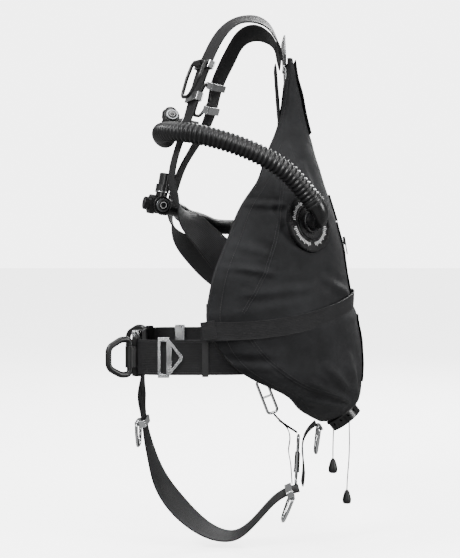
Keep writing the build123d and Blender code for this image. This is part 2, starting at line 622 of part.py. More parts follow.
def build_bolt_snap():
    """Bolt snap on its side: an eye below, a swivel, and a hook closed by a thumb-slide gate."""
    axis = Vector(*SNAP_TOP) - Vector(*SNAP_EYE)
    place = Plane(origin=SNAP_EYE, x_dir=(0, -1, 0), z_dir=axis.normalized())
    eye = Rot(90, 0, 0) * Torus(5.6, 1.8)
    barrel = rod(2.4, 6.6, 14) + rod(4.6, 14, 17.5) + rod(4.2, 17.5, 44)
    guide = Pos(-8.6, 0, 0) * ring(3.6, 1.8 + RUN, 30, 44) + block(-6, 0, -1.4, 1.4, 30, 44)
    path = FilletPolyline((0, 0, 42), (0, 0, 70), (-8.6, 0, 72), (-8.6, 0, 58), radius=[4.5, 4.5])
    hook = sweep(Plane(origin=path @ 0, z_dir=path % 0) * Circle(2.3), path=path)
    body = eye + barrel + guide + hook - Pos(-8.6, 0, 0) * rod(1.8 + RUN, 28, 46)
    body = body - block(-13.0, -8.6, -1.2, 1.2, 33.0, 46.0)
    gate = Pos(-8.6, 0, 0) * rod(1.8, 34, 57.9) + block(-15.0, -8.6, -1.0, 1.0, 46.0, 49.0)
    print("bolt snap gate axis", place.z_dir)
    return {"bolt_snap_body": place * body, "bolt_snap_gate": place * gate}


def inflator(place, entry):
    """Power inflator: local Z towards the deflate button, -Y towards the inflate button, X to the mouthpiece."""
    barrel = rod(INFLATOR_R, -13.5, 8) + rod(14.2, 8, 17)
    for groove in (10.6, 13.6):
        barrel = barrel - ring(16, 13.2, groove, groove + 0.9)
    boss = Rot(90, 0, 0) * rod(11.3, 0, 18)
    neck = Rot(0, 90, 0) * rod(8.7, 0, 27)
    nipple_base = Rot(-90, 0, 0) * rod(7.4, 0, 17)
    nipple = Rot(-90, 0, 0) * (rod(4.7, 17, 26))
    body = barrel + boss + neck + nipple_base + nipple
    body = body - rod(9.6 + RUN, 12, 20) - Rot(90, 0, 0) * rod(9.8 + RUN, 14, 20)
    body = body - Rot(0, 90, 0) * rod(6.0, 12, 30)
    deflate = rod(9.6, 17 - BUTTON_TRAVEL + 3.2 - 1.0, 24)
    inflate = Rot(90, 0, 0) * rod(9.8, 17.2, 20.5)
    oval = extrude(Plane.YZ.offset(30) * SlotOverall(22, 13), amount=18)
    mouth = Rot(0, 90, 0) * rod(10.2, 27 - 6, 31) + oval
    mouth = mouth - Rot(0, 90, 0) * rod(8.7 + 0.01, 20, 27) - Rot(0, 90, 0) * rod(5.0, 20, 60)
    start = Vector(0, 0, -16)
    world_entry = unit(entry)
    local = Vector(world_entry.dot(place.x_dir), world_entry.dot(place.y_dir), world_entry.dot(place.z_dir))
    turn = math.radians(Vector(0, 0, -1).get_angle(local))
    reach = ELBOW_BEND * math.tan(turn / 2)
    corner = start + Vector(0, 0, -1) * reach
    end = corner + local * reach
    path = FilletPolyline(start + Vector(0, 0, 6), corner, end + local * 6, radius=ELBOW_BEND)
    elbow = sweep(Plane(origin=path @ 0, z_dir=path % 0) * Circle(11.5), path=path)
    body = body + elbow
    exit_at = place.from_local_coords(end + local * 6)
    return place * body, place * deflate, place * inflate, place * mouth, exit_at


def build_inflators():
    parts, mouths, exits = {}, [], {}
    for name, (centre, axis, button), entry in (
        ("primary", INFLATOR_PRIMARY, HOSE_ENTRY_PRIMARY),
        ("redundant", INFLATOR_REDUNDANT, HOSE_ENTRY_REDUNDANT),
    ):
        z = unit(axis)
        y = (unit(button) * -1 + z * unit(button).dot(z)).normalized()
        place = Plane(origin=centre, x_dir=y.cross(z), z_dir=z)
        body, deflate, inflate, mouth, exits[name] = inflator(place, entry)
        parts[f"inflator_body_{name}"] = body
        parts[f"deflate_button_{name}"] = deflate
        parts[f"inflate_button_{name}"] = inflate
        mouths.append(mouth)
        print(name, "inflator axes z", place.z_dir, "y", place.y_dir, "x", place.x_dir, "exit", exits[name])
    parts["mouthpieces"] = group(*mouths)
    return parts, exits


def port_elbow(side, towards):
    """Elbow that turns the hose from the port's axis to the direction the hose leaves in."""
    place = port_place(side)
    leave = unit(towards)
    turn = math.radians(place.z_dir.get_angle(leave))
    reach = ELBOW_BEND * math.tan(turn / 2)
    start = place.origin + place.z_dir * 5
    corner = place.origin + place.z_dir * (ELBOW_STEM + reach)
    end = corner + leave * (reach + 1.0)
    path = FilletPolyline(start, corner, end, radius=ELBOW_BEND)
    profile = Plane(origin=path @ 0, z_dir=path % 0)
    return sweep(profile * Circle(ELBOW_R), path=path) - sweep(profile * Circle(ELBOW_BORE), path=path), end


def port_flange(side):
    """Screwed flange: wide rim on the shell, knurled nut inside it, neck into the air cell."""
    rim = ring(PORT_R, 12.0, -3 + GAP, 2.2) + ring(PORT_R - 1.2, PORT_R - 4.5, 2.2, 3.4)
    nut = ring(24.0, 12.0, 2.2, 5.0) - ring(14.0 + RUN, 10, 4.2, 9)
    notches = [Rot(0, 0, step * 12) * Pos(24.4, 0, 3.9) * Box(2.0, 2.0, 3.2) for step in range(30)]
    for notch in notches:
        nut = nut - notch
    neck = ring(19.0, 12.0, -16 + GAP, -3 + GAP)
    return port_place(side) * (rim + nut + neck)


def build_gas_path():
    parts, exits = build_inflators()
    elbows = []
    ends = []
    for side in (-1, 1):
        towards = Vector(-0.62, -0.16, 0.76) if side < 0 else Vector(-0.80, 0.59, -0.08)
        elbow, end = port_elbow(side, towards)
        elbows.append(elbow)
        ends.append([end, end + unit(towards) * HOSE_LEAD])
        print("elbow end", end, end + unit(towards) * HOSE_LEAD)
    parts["port_elbows"] = group(*elbows)
    parts["port_flanges"] = group(port_flange(-1), port_flange(1))
    for name, start, middle, entry, radius in (
        ("primary", ends[0], HOSE_PRIMARY, HOSE_ENTRY_PRIMARY, HOSE_PRIMARY_R),
        ("redundant", ends[1], HOSE_REDUNDANT, HOSE_ENTRY_REDUNDANT, HOSE_REDUNDANT_R),
    ):
        finish = [exits[name] + unit(entry) * HOSE_LEAD, exits[name]]
        print(name, "hose finish", finish)
        parts[f"inflator_hose_{name}"] = tube([*start, *middle, *finish], radius, radius - HOSE_WALL)
    return parts


# ---------------------------------------------------------------- dump valves

CORD_R = 1.0
CORD_PATHS = {
    -1: [(70.5, -37.0, -301.0), (70.2, -37.4, -318.0), (69.4, -36.8, -337.0), (69.6, -37.2, -355.0)],
    1: [(101.5, 40.0, -291.0), (102.3, 40.4, -318.0), (102.9, 39.6, -346.0), (102.0, 40.3, -376.0),
        (99.6, 39.8, -400.0), (99.0, 40.1, -421.0)],
}
TOGGLE_R, TOGGLE_H = 7.0, 22.0


def dump_valve(side):
    place = valve_place(side)
    base = ring(VALVE_R + 1.5, 14.0, 0, 2.0) + ring(19.0, 16.5, -13, 0) + ring(15.4, 14.0, 2.0, 3.2)
    cap = rod(VALVE_R, 2.0 + GAP, VALVE_H) - rod(VALVE_R - 2.2, 1, VALVE_H - 2.2)
    for step in range(12):
        cap = cap - Rot(0, 0, step * 30 + 15) * Pos(VALVE_R, 0, 5.2) * Box(8, 3.0, 3.6)
    for step in range(24):
        cap = cap - Rot(0, 0, step * 15) * Pos(VALVE_R + 0.4, 0, 11) * Box(1.6, 1.6, 12)
    cap = cap + ring(4.2, 2.0 + RUN, VALVE_H - 7, VALVE_H - 2)
    top = CORD_PATHS[side][0]
    cap = place * cap - Pos(top[0], top[1], top[2] - 20) * Cylinder(CORD_R + 0.9, 60)
    poppet = rod(17.5, 3.2 + GAP / 3, 5.2) + rod(2.0, 5.2, VALVE_H - 2.2 - POPPET_TRAVEL - 0.2)
    helix = Helix(pitch=2.4, height=6.2, radius=8.0)
    coil = sweep(Plane(origin=helix @ 0, z_dir=helix % 0) * Circle(0.5), path=helix)
    spring = Pos(0, 0, 5.2 + 0.55) * coil
    return {"body": place * base, "cap": cap, "poppet": place * poppet, "spring": place * spring}


def toggle(top):
    """Pear-shaped pull toggle below its cord."""
    outline = Spline((1.6, 0), (3.6, -3), (5.6, -9), (TOGGLE_R, -16.5), (6.0, -TOGGLE_H + 0.8))
    face = make_face([outline, Line((6.0, -TOGGLE_H + 0.8), (5.0, -TOGGLE_H)), Line((5.0, -TOGGLE_H), (0, -TOGGLE_H)),
                      Line((0, -TOGGLE_H), (0, 0)), Line((0, 0), (1.6, 0))])
    return Pos(top[0], top[1], top[2] - 0.1) * revolve(Plane.XZ * face, Axis.Z)


def build_valves():
    parts = {}
    for side, name in ((-1, "left"), (1, "right")):
        valve = dump_valve(side)
        parts[f"dump_valve_body_{name}"] = valve["body"]
        parts[f"dump_valve_cap_{name}"] = valve["cap"]
        parts[f"dump_poppet_{name}"] = valve["poppet"]
        parts[f"dump_spring_{name}"] = valve["spring"]
        parts[f"pull_cord_{name}"] = tube(CORD_PATHS[side], CORD_R, limp=True)
        parts[f"pull_toggle_{name}"] = toggle(CORD_PATHS[side][-1])
    return parts


def main():
    parts = {}
    parts.update(build_wing())
    parts.update(build_back_trim())
    parts.update(build_wing_band())
    parts.update(build_back())
    parts.update(build_shoulders())
    parts.update(build_belt())
    parts.update(build_buckle())
    parts.update(build_crotch())
    parts.update(build_tail_link())
    parts.update(build_bolt_snap())
    parts.update(build_gas_path())
    parts.update(build_valves())
    for name, shape in parts.items():
        export_step(shape, f"parts/{name}.step")
    print(len(parts), "nodes")


main()
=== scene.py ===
import json
import math

import bpy
import numpy as np
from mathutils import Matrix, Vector, noise


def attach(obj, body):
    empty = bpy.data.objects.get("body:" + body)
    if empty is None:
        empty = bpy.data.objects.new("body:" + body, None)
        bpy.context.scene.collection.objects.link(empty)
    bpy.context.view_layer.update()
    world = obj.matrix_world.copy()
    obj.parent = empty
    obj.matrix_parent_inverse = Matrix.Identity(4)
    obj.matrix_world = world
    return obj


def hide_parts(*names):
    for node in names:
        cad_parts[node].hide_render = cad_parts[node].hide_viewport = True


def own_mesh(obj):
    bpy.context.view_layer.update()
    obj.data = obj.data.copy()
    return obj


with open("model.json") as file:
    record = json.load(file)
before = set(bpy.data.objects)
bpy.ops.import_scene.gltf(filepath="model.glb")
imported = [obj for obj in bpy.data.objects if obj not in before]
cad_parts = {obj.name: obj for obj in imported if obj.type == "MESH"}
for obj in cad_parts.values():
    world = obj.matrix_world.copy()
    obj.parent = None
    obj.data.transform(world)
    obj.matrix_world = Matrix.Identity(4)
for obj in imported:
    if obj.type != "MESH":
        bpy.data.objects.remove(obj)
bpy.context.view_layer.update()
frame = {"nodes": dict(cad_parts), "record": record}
NODES = frame["nodes"]
MM = 0.001
ACROSS = (0, 1, 0)

# ---------------------------------------------------------------- camera

LENS, SENSOR = 74.9, 36.0
CAMERA_PLACE, CAMERA_AIM = Vector((-0.088, -1.8, 0.0)), Vector((-0.088, 0.0, -0.082))


def new_object(name, data):
    obj = bpy.data.objects.new(name, data)
    bpy.context.scene.collection.objects.link(obj)
    return obj


def aim(obj, place, target):
    """Puts a camera or a light at a place, facing a target."""
    obj.location = place
    obj.rotation_euler = (Vector(target) - Vector(place)).to_track_quat("-Z", "Y").to_euler()


camera_data = bpy.data.cameras.new("camera")
camera_data.lens = LENS
camera_data.sensor_width = SENSOR
camera = new_object("camera", camera_data)
aim(camera, CAMERA_PLACE, CAMERA_AIM)
bpy.context.scene.camera = camera

# ---------------------------------------------------------------- materials


class Nodes:
    """Small helper that builds the node tree of one new material, or of a world."""

    def __init__(self, owner):
        self.material = bpy.data.materials.new(owner) if isinstance(owner, str) else owner
        self.material.use_nodes = True
        self.tree = self.material.node_tree
        self.shader = self.tree.nodes.get("Principled BSDF")
        self.coords = self.tree.nodes.new("ShaderNodeTexCoord").outputs

    def feed(self, node, inputs):
        """Links or sets the inputs of a node, given by place or by name with _ for a space."""
        for key, value in inputs.items():
            socket = node.inputs[key.replace("_", " ") if isinstance(key, str) else key]
            if isinstance(value, bpy.types.NodeSocket):
                self.tree.links.new(value, socket)
            else:
                socket.default_value = value
        return node

    def add(self, kind, **inputs):
        return self.feed(self.tree.nodes.new(kind), inputs)

    def math(self, operation, a, b=0.0):
        node = self.tree.nodes.new("ShaderNodeMath")
        node.operation = operation
        return self.feed(node, {0: a, 1: b}).outputs[0]

    def noise(self, source, scale, detail=3.0, rough=0.55):
        node = self.add("ShaderNodeTexNoise", Vector=source, Scale=scale, Detail=detail, Roughness=rough)
        return node.outputs["Fac"]

    def ramp(self, fac, *stops):
        node = self.add("ShaderNodeValToRGB", Fac=fac)
        ramp = node.color_ramp
        while len(ramp.elements) < len(stops):
            ramp.elements.new(0.5)
        for element, (position, colour) in zip(ramp.elements, stops):
            element.position = position
            element.color = (*colour, 1.0) if len(colour) == 3 else colour
        return node.outputs["Color"]

    def value(self, fac, low, high):
        node = self.add("ShaderNodeMapRange", Value=fac, To_Min=low, To_Max=high)
        return node.outputs["Result"]

    def split(self, source):
        return self.feed(self.tree.nodes.new("ShaderNodeSeparateXYZ"), {0: source}).outputs

    def bump(self, height, strength, distance, before=None):
        node = self.add("ShaderNodeBump", Height=height, Strength=strength, Distance=distance)
        if before is not None:
            self.tree.links.new(before, node.inputs["Normal"])
        return node.outputs["Normal"]

    def finish(self, **inputs):
        self.feed(self.shader, inputs)
        return self.material


def woven(name, dark, light, pitch, rough, sheen, depth):
    """Plain weave on UVs in metres, with worn lighter patches."""
    m = Nodes(name)
    x, y, _ = m.split(m.coords["UV"])
    turn = 2 * math.pi / pitch
    across = m.math("SINE", m.math("MULTIPLY", x, turn))
    along = m.math("SINE", m.math("MULTIPLY", y, turn))
    weave = m.math("MULTIPLY", across, along)
    fine = m.noise(m.coords["Object"], 900.0, 2.0)
    patches = m.noise(m.coords["Object"], 14.0, 5.0, 0.62)
    height = m.math("ADD", m.value(weave, 0.0, 0.7), m.math("MULTIPLY", fine, 0.5))
    mix = m.math("ADD", m.math("MULTIPLY", patches, 0.75), m.math("MULTIPLY", m.value(weave, 0.0, 1.0), 0.28))
    colour = m.ramp(mix, (0.28, dark), (0.78, light))
    soft = m.bump(m.noise(m.coords["Object"], 95.0, 4.0), 0.35, 0.0012)
    normal = m.bump(height, 0.6, depth, soft)
    return m.finish(Base_Color=colour, Roughness=m.value(patches, rough - 0.08, rough + 0.08),
                    Sheen_Weight=sheen, Sheen_Roughness=0.5, Specular_IOR_Level=0.16, Normal=normal)


def webbing(name, dark, light, pitch=0.0024, rough=0.62):
    """Herringbone webbing: U runs across the webbing and V along it, in metres."""
    m = Nodes(name)
    u, v, _ = m.split(m.coords["UV"])
    ribs = m.math("SINE", m.math("MULTIPLY", u, 2 * math.pi / pitch))
    slant = m.math("ADD", m.math("MULTIPLY", v, 2 * math.pi / 0.0016), m.math("MULTIPLY", ribs, 1.6))
    twill = m.math("SINE", slant)
    height = m.math("ADD", m.value(ribs, 0.0, 0.55), m.value(twill, 0.0, 0.45))
    wear = m.noise(m.coords["Object"], 30.0, 5.0, 0.6)
    mix = m.math("ADD", m.math("MULTIPLY", wear, 0.7), m.math("MULTIPLY", height, 0.3))
    colour = m.ramp(mix, (0.3, dark), (0.8, light))
    normal = m.bump(height, 0.7, 0.0006)
    return m.finish(Base_Color=colour, Roughness=m.value(wear, rough - 0.1, rough + 0.1), Sheen_Weight=0.02,
                    Specular_IOR_Level=0.2, Normal=normal)


def moulded(name, dark, light, rough, grain=0.25, coat=0.0, scale=420.0):
    """Moulded plastic or rubber with a fine grain and faint scuffs."""
    m = Nodes(name)
    source = m.coords["Object"]
    fine = m.noise(source, scale, 3.0)
    scuffs = m.noise(source, 38.0, 6.0, 0.68)
    colour = m.ramp(scuffs, (0.35, dark), (0.75, light))
    return m.finish(Base_Color=colour, Roughness=m.value(scuffs, rough - 0.07, rough + 0.1), Coat_Weight=coat,
                    Coat_Roughness=0.18, Specular_IOR_Level=0.32, Normal=m.bump(fine, grain, 0.0003))


def metal(name, colour, rough, brushed=True):
    """Electropolished steel with fine drawn lines and faint handling marks."""
    m = Nodes(name)
    mapping = m.add("ShaderNodeMapping", Vector=m.coords["Object"], Scale=(900.0, 900.0, 60.0))
    lines = m.noise(mapping.outputs["Vector"], 1.0, 2.0)
    marks = m.noise(m.coords["Object"], 55.0, 5.0, 0.65)
    tint = m.ramp(marks, (0.3, tuple(c * 0.82 for c in colour)), (0.8, colour))
    worn = m.add("ShaderNodeBevel", Radius=0.0009)
    return m.finish(Base_Color=tint, Metallic=1.0, Roughness=m.value(marks, rough - 0.05, rough + 0.14),
                    Normal=m.bump(lines, 0.22 if brushed else 0.08, 0.0002, worn.outputs["Normal"]))


MAT = {
    "cordura": woven("cordura_shell", (0.0046, 0.0047, 0.0052), (0.0235, 0.0240, 0.0255),
                     0.0011, 0.78, 0.03, 0.0005),
    "pad_cloth": woven("pad_mesh", (0.007, 0.007, 0.0075), (0.019, 0.019, 0.020), 0.0022, 0.85, 0.03, 0.0009),
    "tape": woven("zip_tape", (0.008, 0.008, 0.009), (0.022, 0.022, 0.023), 0.0009, 0.72, 0.03, 0.0003),
    "webbing": webbing("harness_webbing", (0.0042, 0.0042, 0.0046), (0.0135, 0.0135, 0.0145)),
    "thread": moulded("thread", (0.012, 0.012, 0.013), (0.024, 0.024, 0.026), 0.55, 0.5),
    "hose_rubber": moulded("hose_rubber", (0.0045, 0.0045, 0.0048), (0.009, 0.009, 0.0095), 0.36, 0.2, 0.06),
    "gloss_plastic": moulded("gloss_plastic", (0.004, 0.004, 0.0042), (0.008, 0.008, 0.0085), 0.26, 0.12, 0.12),
    "matte_plastic": moulded("matte_plastic", (0.007, 0.007, 0.0073), (0.015, 0.015, 0.0155), 0.46, 0.35),
    "coated_ring": moulded("coated_ring", (0.005, 0.005, 0.005), (0.012, 0.012, 0.012), 0.36, 0.2, 0.05),
    "steel": metal("polished_steel", (0.66, 0.67, 0.68), 0.15),
    "button_steel": metal("button_steel", (0.30, 0.31, 0.32), 0.26),
    "cord": moulded("braided_cord", (0.02, 0.02, 0.02), (0.05, 0.05, 0.05), 0.6, 0.8, 0.0, 900.0),
    "pale_print": moulded("pale_marks", (0.55, 0.55, 0.55), (0.75, 0.75, 0.75), 0.5, 0.1),
}

# ---------------------------------------------------------------- mesh helpers


def grid_faces(rows, columns, start=0, wrap=False):
    """Faces of a tube whose rings each have a number of points; wrap joins the last ring to the first."""
    faces = []
    for i in range(rows if wrap else rows - 1):
        below, above = start + i * columns, start + (i + 1) % rows * columns
        for j in range(columns):
            following = (j + 1) % columns
            faces.append((below + j, below + following, above + following, above + j))
    return faces


def small_box(start):
    """Faces of a box whose eight points are four pairs, taken round it."""
    rounds = []
    for k in range(0, 8, 2):
        rounds.append((start + k, start + (k + 2) % 8, start + (k + 3) % 8, start + k + 1))
    return rounds + [(start, start + 6, start + 4, start + 2), (start + 1, start + 3, start + 5, start + 7)]


def end_caps(rows, columns, start=0):
    """Flat faces that close both ends of a tube."""
    last = start + (rows - 1) * columns
    return [tuple(range(start + columns - 1, start - 1, -1)), tuple(range(last, last + columns))]


def stations(*rows):
    """Stations of webbing: rows of a centre and the direction across, left out where that is sideways."""
    return [(row[:3], row[3:] or ACROSS) for row in rows]


def stand_for(piece, node):
    """Hides the CAD solid that a piece stands for, and gives the piece back."""
    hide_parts(node)
    return piece


def unit(v):
    """The direction of a vector, or of each row of vectors."""
    v = np.array(v, dtype=float)
    return v / np.linalg.norm(v, axis=-1, keepdims=True)


def bell(offset, width):
    """One at no offset, falling off smoothly over a width."""
    return math.exp(-((offset / width) ** 2))


def runs_along(points):
    """Distance along a line of points, at each of them."""
    return np.concatenate([[0], np.cumsum(np.linalg.norm(np.diff(points, axis=0), axis=1))])


def new_mesh(name, vertices, faces, material, uvs=None, smooth=True, body="harness"):
    mesh = bpy.data.meshes.new(name)
    mesh.from_pydata([tuple(map(float, v)) for v in vertices], [], faces)
    if uvs is not None:
        layer = mesh.uv_layers.new(name="UVMap")
        flat = np.array([uvs[i] for face in faces for i in face], dtype=float)
        layer.data.foreach_set("uv", flat.ravel())
    mesh.polygons.foreach_set("use_smooth", [smooth] * len(mesh.polygons))
    mesh.materials.append(MAT[material])
    mesh.validate()
    obj = new_object(name, mesh)
    if body:
        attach(obj, body)
    return obj


def spline_rows(points, count):
    """Smooth curve through rows of numbers, at count even steps of its length."""
    points = np.asarray(points, dtype=float)
    knots = runs_along(points[:, :3])
    n = len(points)
    h = np.diff(knots)
    a = np.zeros((n, n))
    r = np.zeros((n, points.shape[1]))
    a[0, 0] = a[-1, -1] = 1.0
    for i in range(1, n - 1):
        a[i, i - 1], a[i, i], a[i, i + 1] = h[i - 1], 2 * (h[i - 1] + h[i]), h[i]
        r[i] = 6 * ((points[i + 1] - points[i]) / h[i] - (points[i] - points[i - 1]) / h[i - 1])
    m = np.linalg.solve(a, r)
    t = np.linspace(0, knots[-1], count)
    k = np.clip(np.searchsorted(knots, t, side="right") - 1, 0, n - 2)
    d = (t - knots[k])[:, None]
    hk = h[k][:, None]
    return (points[k] + d * ((points[k + 1] - points[k]) / hk - hk * (2 * m[k] + m[k + 1]) / 6)
            + d ** 2 * m[k] / 2 + d ** 3 * (m[k + 1] - m[k]) / (6 * hk)), t


def ribbon_frames(path, step=2.0):
    """Centres, directions (across, normal, along) and the run along webbing, in millimetres."""
    rows = np.array([[*centre, *unit(across)] for centre, across in path])
    smooth, t = spline_rows(rows, max(12, int(runs_along(rows[:, :3])[-1] / step)))
    centre, across = smooth[:, :3], smooth[:, 3:6]
    along = unit(np.gradient(centre, axis=0))
    across = unit(across - along * np.sum(across * along, axis=1)[:, None])
    normal = np.cross(across, along)
    return centre, across, normal, along, t


def ribbon(name, path, width, thickness, material="webbing", wobble=0.0, body="harness"):
    """Webbing with selvedges, slightly domed across, as a closed mesh."""
    centre, across, normal, _, t = ribbon_frames(path)
    half = width / 2
    top = [(-1, 0.0), (-0.985, 0.45), (-0.93, 0.5), (-0.86, 0.40), (-0.5, 0.46), (0, 0.5),
           (0.5, 0.46), (0.86, 0.40), (0.93, 0.5), (0.985, 0.45), (1, 0.0)]
    profile = top + [(u, -v) for u, v in top[-2:0:-1]]
    vertices, uvs = [], []
    rows, columns = len(centre), len(profile)
    for i in range(rows):
        sway = wobble * noise.noise(Vector((t[i] * 0.02, width, 0.3)))
        for u, v in profile:
            point = centre[i] + across[i] * u * half + normal[i] * (v * thickness + sway * u)
            vertices.append(point * MM)
            uvs.append((u * half * MM, t[i] * MM))
    faces = grid_faces(rows, columns) + end_caps(rows, columns)
    return new_mesh(name, vertices, faces, material, uvs, body=body)


def stitches(name, lines, pitch=3.4, length=2.4, radius=0.34, material="thread", body="harness"):
    """Thread stitches along lines of (point, normal) pairs, in millimetres, each a rounded dash."""
    vertices, faces = [], []
    for line in lines:
        points = np.array([p for p, _ in line], dtype=float)
        normals = np.array([n for _, n in line], dtype=float)
        distance = runs_along(points)
        for start in np.arange(0, distance[-1] - length, pitch):
            ends = []
            for where in (start, start + length):
                ends.append(np.array([np.interp(where, distance, points[:, i]) for i in range(3)]))
            normal = np.array([np.interp(start, distance, normals[:, i]) for i in range(3)])
            normal /= max(np.linalg.norm(normal), 1e-9)
            along = ends[1] - ends[0]
            along /= max(np.linalg.norm(along), 1e-9)
            side = np.cross(normal, along)
            base = len(vertices)
            for share, size, lift in ((0, 0.35, -0.2), (0.2, 1, 0.25), (0.8, 1, 0.25), (1, 0.35, -0.2)):
                middle = ends[0] * (1 - share) + ends[1] * share + normal * lift * radius
                for angle in range(6):
                    a = angle * math.pi / 3
                    offset = side * math.cos(a) + normal * math.sin(a)
                    vertices.append((middle + offset * radius * size) * MM)
            faces += grid_faces(4, 6, base) + end_caps(4, 6, base)
    return new_mesh(name, vertices, faces, material, body=body)

# ---------------------------------------------------------------- wing

# Sections of the wing: height, then x of the inner, back and front faces, half width and side thickness
WING = [
    (254, 4, 9, 1, 36, 5),
    (228, 5, 14, 0, 38, 8),
    (200, 6, 20, -3, 42, 10),
    (150, 7, 31, -12, 54, 14),
    (110, 8, 43, -28, 80, 16),
    (70, 9, 55, -42, 112, 18),
    (34, 9, 67, -66, 140, 20),
    (-13, 9, 80, -86, 164, 22),
    (-60, 9, 89, -105, 181, 20),
    (-103, 9, 97, -115, 187, 18),
    (-134, 9, 106, -117, 188, 17),
    (-162, 9, 112, -107, 186, 15),
    (-192, 9, 114, -86, 182, 14),
    (-220, 10, 115, -47, 173, 14),
    (-246, 14, 114, -2, 142, 16),
    (-269, 24, 110, 17, 112, 20),
    (-286, 42, 100, 36, 76, 24),
    (-297, 56, 88, 50, 48, 16),
]
WING_POWER, INNER_POWER = 2.4, 3.0
# Seams seen from the side, as (x, z): the shell's side panel is sewn along them
SEAM = [(-15, 68), (-21, 28), (-27, -12), (-36, -44), (-43, -64), (-60, -96), (-75, -120)]
LOWER_SEAM = [(-69, -150), (-45, -183), (-18, -207), (4, -223), (27, -236), (55, -247), (84, -262)]
# Folds of slack cloth seen from the side: both ends as (x, z), height and half width
FOLD_GAIN = 1.7
FOLDS = [
    ((-62, 32), (-12, 30), 2.4, 4.5),
    ((-78, -58), (-30, -66), 2.2, 5.0),
    ((-100, -186), (-30, -190), -2.0, 6.0),
    ((20, -250), (78, -268), 2.6, 5.0),
    ((30, -225), (88, -258), 2.2, 5.5),
    ((52, -200), (98, -250), 2.0, 6.0),
    ((-40, -216), (40, -262), 2.0, 6.0),
    ((86, -190), (104, -262), 1.8, 6.0),
    ((20, 90), (38, 36), 1.8, 5.0),
    ((-2, 120), (18, 60), 1.6, 5.5),
    ((-58, 70), (-20, 4), 1.8, 7.0),
    ((-70, -96), (30, -88), 1.6, 7.0),
    ((50, -76), (92, -104), 1.8, 6.0),
    ((-90, -20), (-36, -40), 1.6, 6.0),
]
_rows, _ = spline_rows([(0, 0, h, ix, bx, fx, w, s) for h, ix, bx, fx, w, s in WING], 400)
_order = np.argsort(_rows[:, 2])


def wing_at(height):
    """(inner x, back x, front x, half width, side thickness) at a height."""
    return [float(np.interp(height, _rows[_order, 2], _rows[_order, k])) for k in (3, 4, 5, 6, 7)]


def segment_distance(x, z, a, b):
    """Distance to a segment in the side view, and how far along it the nearest point lies."""
    dx, dz = b[0] - a[0], b[1] - a[1]
    share = max(0.0, min(1.0, ((x - a[0]) * dx + (z - a[1]) * dz) / (dx * dx + dz * dz)))
    return math.hypot(x - a[0] - share * dx, z - a[1] - share * dz), share


def line_distance(x, z, line):
    best, place, run = 1e9, 0.0, 0.0
    for a, b in zip(line, line[1:]):
        distance, share = segment_distance(x, z, a, b)
        size = math.hypot(b[0] - a[0], b[1] - a[1])
        if distance < best:
            best, place = distance, run + share * size
        run += size
    return best, place


BAND_Z_BACK, BAND_Z_FRONT = -110.0, -147.0


def round_noise(rise, run, reach, seed):
    """Noise read on a circle, so that it meets itself all round."""
    angle = math.atan2(rise, run)
    return noise.noise(Vector((math.cos(angle) * reach, math.sin(angle) * reach, seed)))


def wing_relief(x, y, z):
    """Height of the cloth above its smooth form: seams, puckers, folds and slack."""
    side = 1.0 if y > 0 else -1.0
    p = Vector((x * 0.012, y * 0.012, z * 0.012))
    lift = 2.2 * noise.noise(p * 0.9 + Vector((3, 1, 7))) + 1.1 * noise.noise(p * 2.6 + Vector((1, 9, 2)))
    lift += 0.35 * noise.noise(p * 8.0)
    if abs(y) > 30:
        for line in (SEAM, LOWER_SEAM):
            d, along = line_distance(x, z, line)
            if d < 30:
                lift += 0.7 * bell(d - 5.5, 3.6) - 2.0 * bell(d, 1.5)
                pucker = noise.noise(Vector((along * 0.16, side * 3.0, d * 0.03)))
                lift += 1.5 * pucker * math.exp(-d / 11.0) * min(1.0, d / 3.0)
        for index, (a, b, height, width) in enumerate(FOLDS):
            d, share = segment_distance(x, z, a, b)
            if d < 4 * width:
                sway = 1.0 + 0.3 * noise.noise(Vector((share * 3, index, side)))
                ends = math.sin(math.pi * (0.08 + 0.84 * share)) ** 0.6
                lift += FOLD_GAIN * height * sway * ends * (bell(d, width) - 0.6 * bell(d - 1.7 * width, width))
    band = BAND_Z_BACK + (BAND_Z_FRONT - BAND_Z_BACK) * min(1.0, max(0.0, (105 - x) / 215.0)) - z
    lift += 1.6 * bell(abs(band) - 22, 9.0) - 1.2 * bell(band, 13.0)
    if abs(band) < 45:
        lift += 0.7 * noise.noise(Vector((x * 0.09, side * 2, z * 0.02))) * math.exp(-abs(abs(band) - 16) / 14.0)
    for sign in (-1, 1):
        port = math.sqrt((x - 25) ** 2 + (y - sign * 129) ** 2 + (z - 4) ** 2)
        if port < 75:
            lift -= bell(port - 42, 5.0)
            if port > 40:
                lift += 1.3 * round_noise(z - 4, x - 25, 2.4, sign) * math.exp(-max(0.0, port - 42) / 14.0)
        valve = math.sqrt((x - 81) ** 2 + (y - sign * 36) ** 2 + (z + 284) ** 2)
        if valve < 80:
            lift += 2.4 * round_noise(z + 284, x - 81, 3.2, sign * 4) * math.exp(-max(0.0, valve - 26) / 26.0)
    return max(-3.8, min(4.6, lift))


def oval(angle, power):
    """Shares of the depth and the half width that a superellipse has at an angle."""
    c, s = max(math.cos(math.radians(angle)), 0.0), abs(math.sin(math.radians(angle)))
    return c ** (2 / power), s ** (2 / power)


def wing_point(height, angle, relief=True):
    """Point and outward normal of the outer cloth, at an angle from the middle of the back."""
    _, back_x, front_x, half, _ = wing_at(height)
    u, v = oval(angle, WING_POWER)
    reach = back_x - front_x
    point = np.array([front_x + reach * u, math.copysign(half * v, angle), height])
    normal = unit([u ** (WING_POWER - 1) / reach, math.copysign(v ** (WING_POWER - 1), angle) / half, 0.0])
    if relief:
        point = point + normal * wing_relief(*point)
    return point, normal


